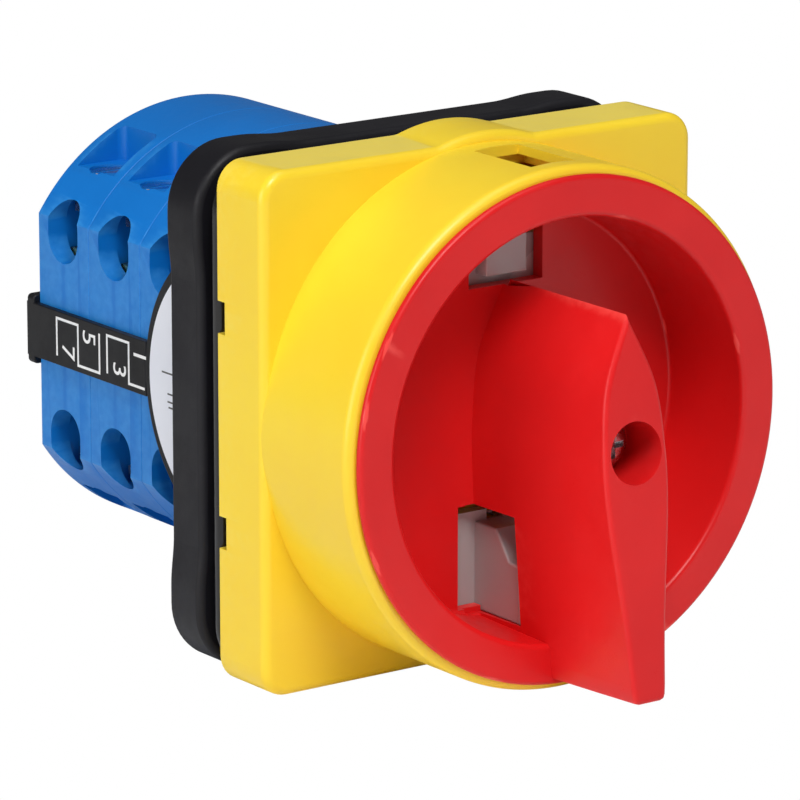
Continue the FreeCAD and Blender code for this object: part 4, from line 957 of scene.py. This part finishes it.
def make_strip(side, node, digits):
    """The black strip, its hook over the drum's rear edge, and its printed contact diagram."""
    low, high = span(node)
    half = STRIP_HALF
    rear = DECK_SPANS[-1][1][1]
    inner = side * DRUM_FLAT
    outer = side * (DRUM_FLAT + STRIP_THICKNESS)
    outline = [(low[1], -half), (high[1], -half), (high[1], half), (low[1], half)]
    strip = new_object(node + "_piece", side_slab(outline, *sorted((inner, outer)), 0.15))
    x_hook = sorted((side * (DRUM_FLAT - HOOK_REACH), outer))
    hook = rounded([(x_hook[0], -HOOK_HALF, 0.6), (x_hook[1], -HOOK_HALF, 0.6), (x_hook[1], HOOK_HALF, 0.6),
                    (x_hook[0], HOOK_HALF, 0.6)], 4)
    combine(strip, [slab(hook, rear, high[1], 0.2, 0.4)], "UNION")
    soften(strip)
    dress(strip, BLACK_STRIP, "housing", "black_plastic", node)
    lines = []
    for deck in (2, 3):
        first = DECK_SPANS[deck - 1][0][1] + MARK_SETBACK
        second, third = first - MARK_PITCH, first - 2 * MARK_PITCH
        upper, lower = MARK_LEVEL, -MARK_LEVEL
        marks = [(first, lower + 0.5), (first, upper), (second, upper), (second, lower), (third, lower)]
        if third > low[1] + 6:
            marks.append((third, upper - 0.3))
        else:
            marks[-1] = (max(third, low[1] + 0.3), lower)
        lines += printed_line(marks, MARK_WIDTH, outer, side)
    ink = new_object(node + "_marks", lines[0])
    combine(ink, lines[1:], "UNION")
    soften(ink)
    dress(ink, PRINT_WHITE, "housing", "black_plastic")
    for text, place in digits:
        printed_digit(text, place, DIGIT_HEIGHT, outer, side)


def make_label():
    """The round white label in its black rim, cut straight where it meets the panel."""
    def plaque(radius, low_x, high_x, edge):
        start = math.acos((HOLDER_LOW[1] - LABEL_CENTRE) / radius)
        count = 96
        arc = [(LABEL_CENTRE + radius * math.cos(-start + 2 * start * i / count),
                radius * math.sin(-start + 2 * start * i / count)) for i in range(count + 1)]
        return side_slab(arc, low_x, high_x, edge)
    holder = new_object("label_rim", plaque(LABEL_RIM_RADIUS, HOLDER_LOW[0], HOLDER_HIGH[0], 0.3))
    soften(holder)
    dress(holder, BLACK_STRIP, "housing", "black_plastic", "label_holder")
    label = new_object("label_face", plaque(LABEL_RADIUS, LABEL_LOW[0], LABEL_HIGH[0] + 0.05, 0.08))
    soften(label)
    dress(label, WHITE_LABEL, "housing", "label_white", "rating_label")
    lines = []
    for y_span, level in TICKS:
        lines += printed_line([(y_span[0], level), (y_span[1], level)], TICK_WIDTH, LABEL_LOW[0] + 0.01, -1)
    ink = new_object("label_ticks", lines[0])
    combine(ink, lines[1:], "UNION")
    soften(ink)
    dress(ink, PRINT_BLACK, "housing", "label_white")


# ---- CAD pieces that stay, with a finish of their own ----

KEPT = {ZINC: ("shaft", "terminal_screws", "clamp_plates", "tie_bolts"),
        SPRING: ("lock_spring", *(f"index_spring_{i}" for i in range(1, 5)),
                 *(f"contact_spring_{i}" for i in range(1, 5))),
        BRASS: (*(f"terminal_{i}" for i in range(1, 9)), *(f"contact_bridge_{i}" for i in range(1, 5))),
        NATURAL: ("index_wheel", "cam_2", "cam_3", *(f"index_plunger_{i}" for i in range(1, 5)),
                  *(f"carrier_{i}" for i in range(1, 5)))}


def finish_kept_nodes():
    """The finishes of the pieces that keep their frame meshes."""
    for material, nodes in KEPT.items():
        for node in nodes:
            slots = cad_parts[node].material_slots
            for material_slot in slots:
                material_slot.material = material


# ---- Studio ----

def area_light(name, place, target, size, power):
    """A soft rectangular light that faces its target."""
    data = bpy.data.lights.new(name, "AREA")
    data.shape = "RECTANGLE"
    data.size, data.size_y = size
    data.energy = power
    lamp = bpy.data.objects.new(name, data)
    lamp.location = place
    lamp.rotation_euler = (Vector(target) - Vector(place)).to_track_quat("-Z", "Y").to_euler()
    bpy.context.scene.collection.objects.link(lamp)


def make_studio():
    """A white sweep that reads as plain white, and soft boxes round the object."""
    sweep = bmesh.new()
    bmesh.ops.create_grid(sweep, x_segments=8, y_segments=8, size=3.0)
    floor = new_object("studio_floor", sweep)
    floor.location = (0, 0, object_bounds()[0][2] - 0.0004)
    material, tree, surface = shader("Pale studio paper")
    surface.inputs["Base Color"].default_value = (0.90, 0.90, 0.90, 1)
    paper = noise(tree, 400, 4, tree.nodes.new("ShaderNodeTexCoord").outputs["Object"])
    tree.links.new(remap(tree, paper.outputs["Fac"], 0.3, 0.7, 0.85, 0.95), surface.inputs["Roughness"])
    bright = tree.nodes.new("ShaderNodeEmission")
    mix = tree.nodes.new("ShaderNodeMixShader")
    tree.links.new(tree.nodes.new("ShaderNodeLightPath").outputs["Is Camera Ray"], mix.inputs["Fac"])
    tree.links.new(surface.outputs["BSDF"], mix.inputs[1])
    tree.links.new(bright.outputs["Emission"], mix.inputs[2])
    tree.links.new(mix.outputs["Shader"], tree.nodes["Material Output"].inputs["Surface"])
    floor.data.materials.append(material)
    world = bpy.data.worlds.new("Studio surround")
    world.use_nodes = True
    tree = world.node_tree
    background = tree.nodes["Background"]
    background.inputs["Color"].default_value = (1, 1, 1, 1)
    level = remap(tree, tree.nodes.new("ShaderNodeLightPath").outputs["Is Camera Ray"], 0, 1, SURROUND, 1.0)
    tree.links.new(level, background.inputs["Strength"])
    bpy.context.scene.world = world
    area_light("Key box", (-0.30, -0.60, 0.86), (0, 0, 0), (0.40, 0.40), 7.2)
    area_light("Side box", (-0.95, -0.05, 0.20), (0, 0, 0), (0.6, 0.6), 3.7)
    area_light("Top box", (0.05, -0.1, 0.95), (0, 0, 0), (0.6, 0.6), 2.0)
    area_light("Fill box", (0.75, -0.60, 0.10), (0, 0, 0), (0.5, 0.5), 0.45)


def make_camera():
    """The viewing direction, distance and lens."""
    azimuth, elevation = math.radians(-35.94), math.radians(14.29)
    distance, target = 0.700, Vector((-0.01217, -0.0198, 0.00202))
    away = Vector((math.sin(azimuth) * math.cos(elevation), -math.cos(azimuth) * math.cos(elevation),
                   math.sin(elevation)))
    lens = bpy.data.cameras.new("Camera")
    lens.lens = 263.8
    lens.sensor_width = 36
    lens.clip_start = 0.01
    camera = bpy.data.objects.new("Camera", lens)
    camera.location = target + away * distance
    camera.rotation_euler = (-away).to_track_quat("-Z", "Y").to_euler()
    bpy.context.scene.collection.objects.link(camera)
    bpy.context.scene.camera = camera
    bpy.context.scene.view_settings.view_transform = "Standard"


make_cover()
make_handle()
make_plate()
make_gasket()
make_drum()
make_slider()
make_handle_screw()
make_strip(-1, "marking_strip_left", tuple(zip("1357", DIGIT_PLACES)))
make_strip(1, "marking_strip_right", tuple(zip("2468", DIGIT_PLACES)))
make_label()
finish_kept_nodes()
make_studio()
make_camera()
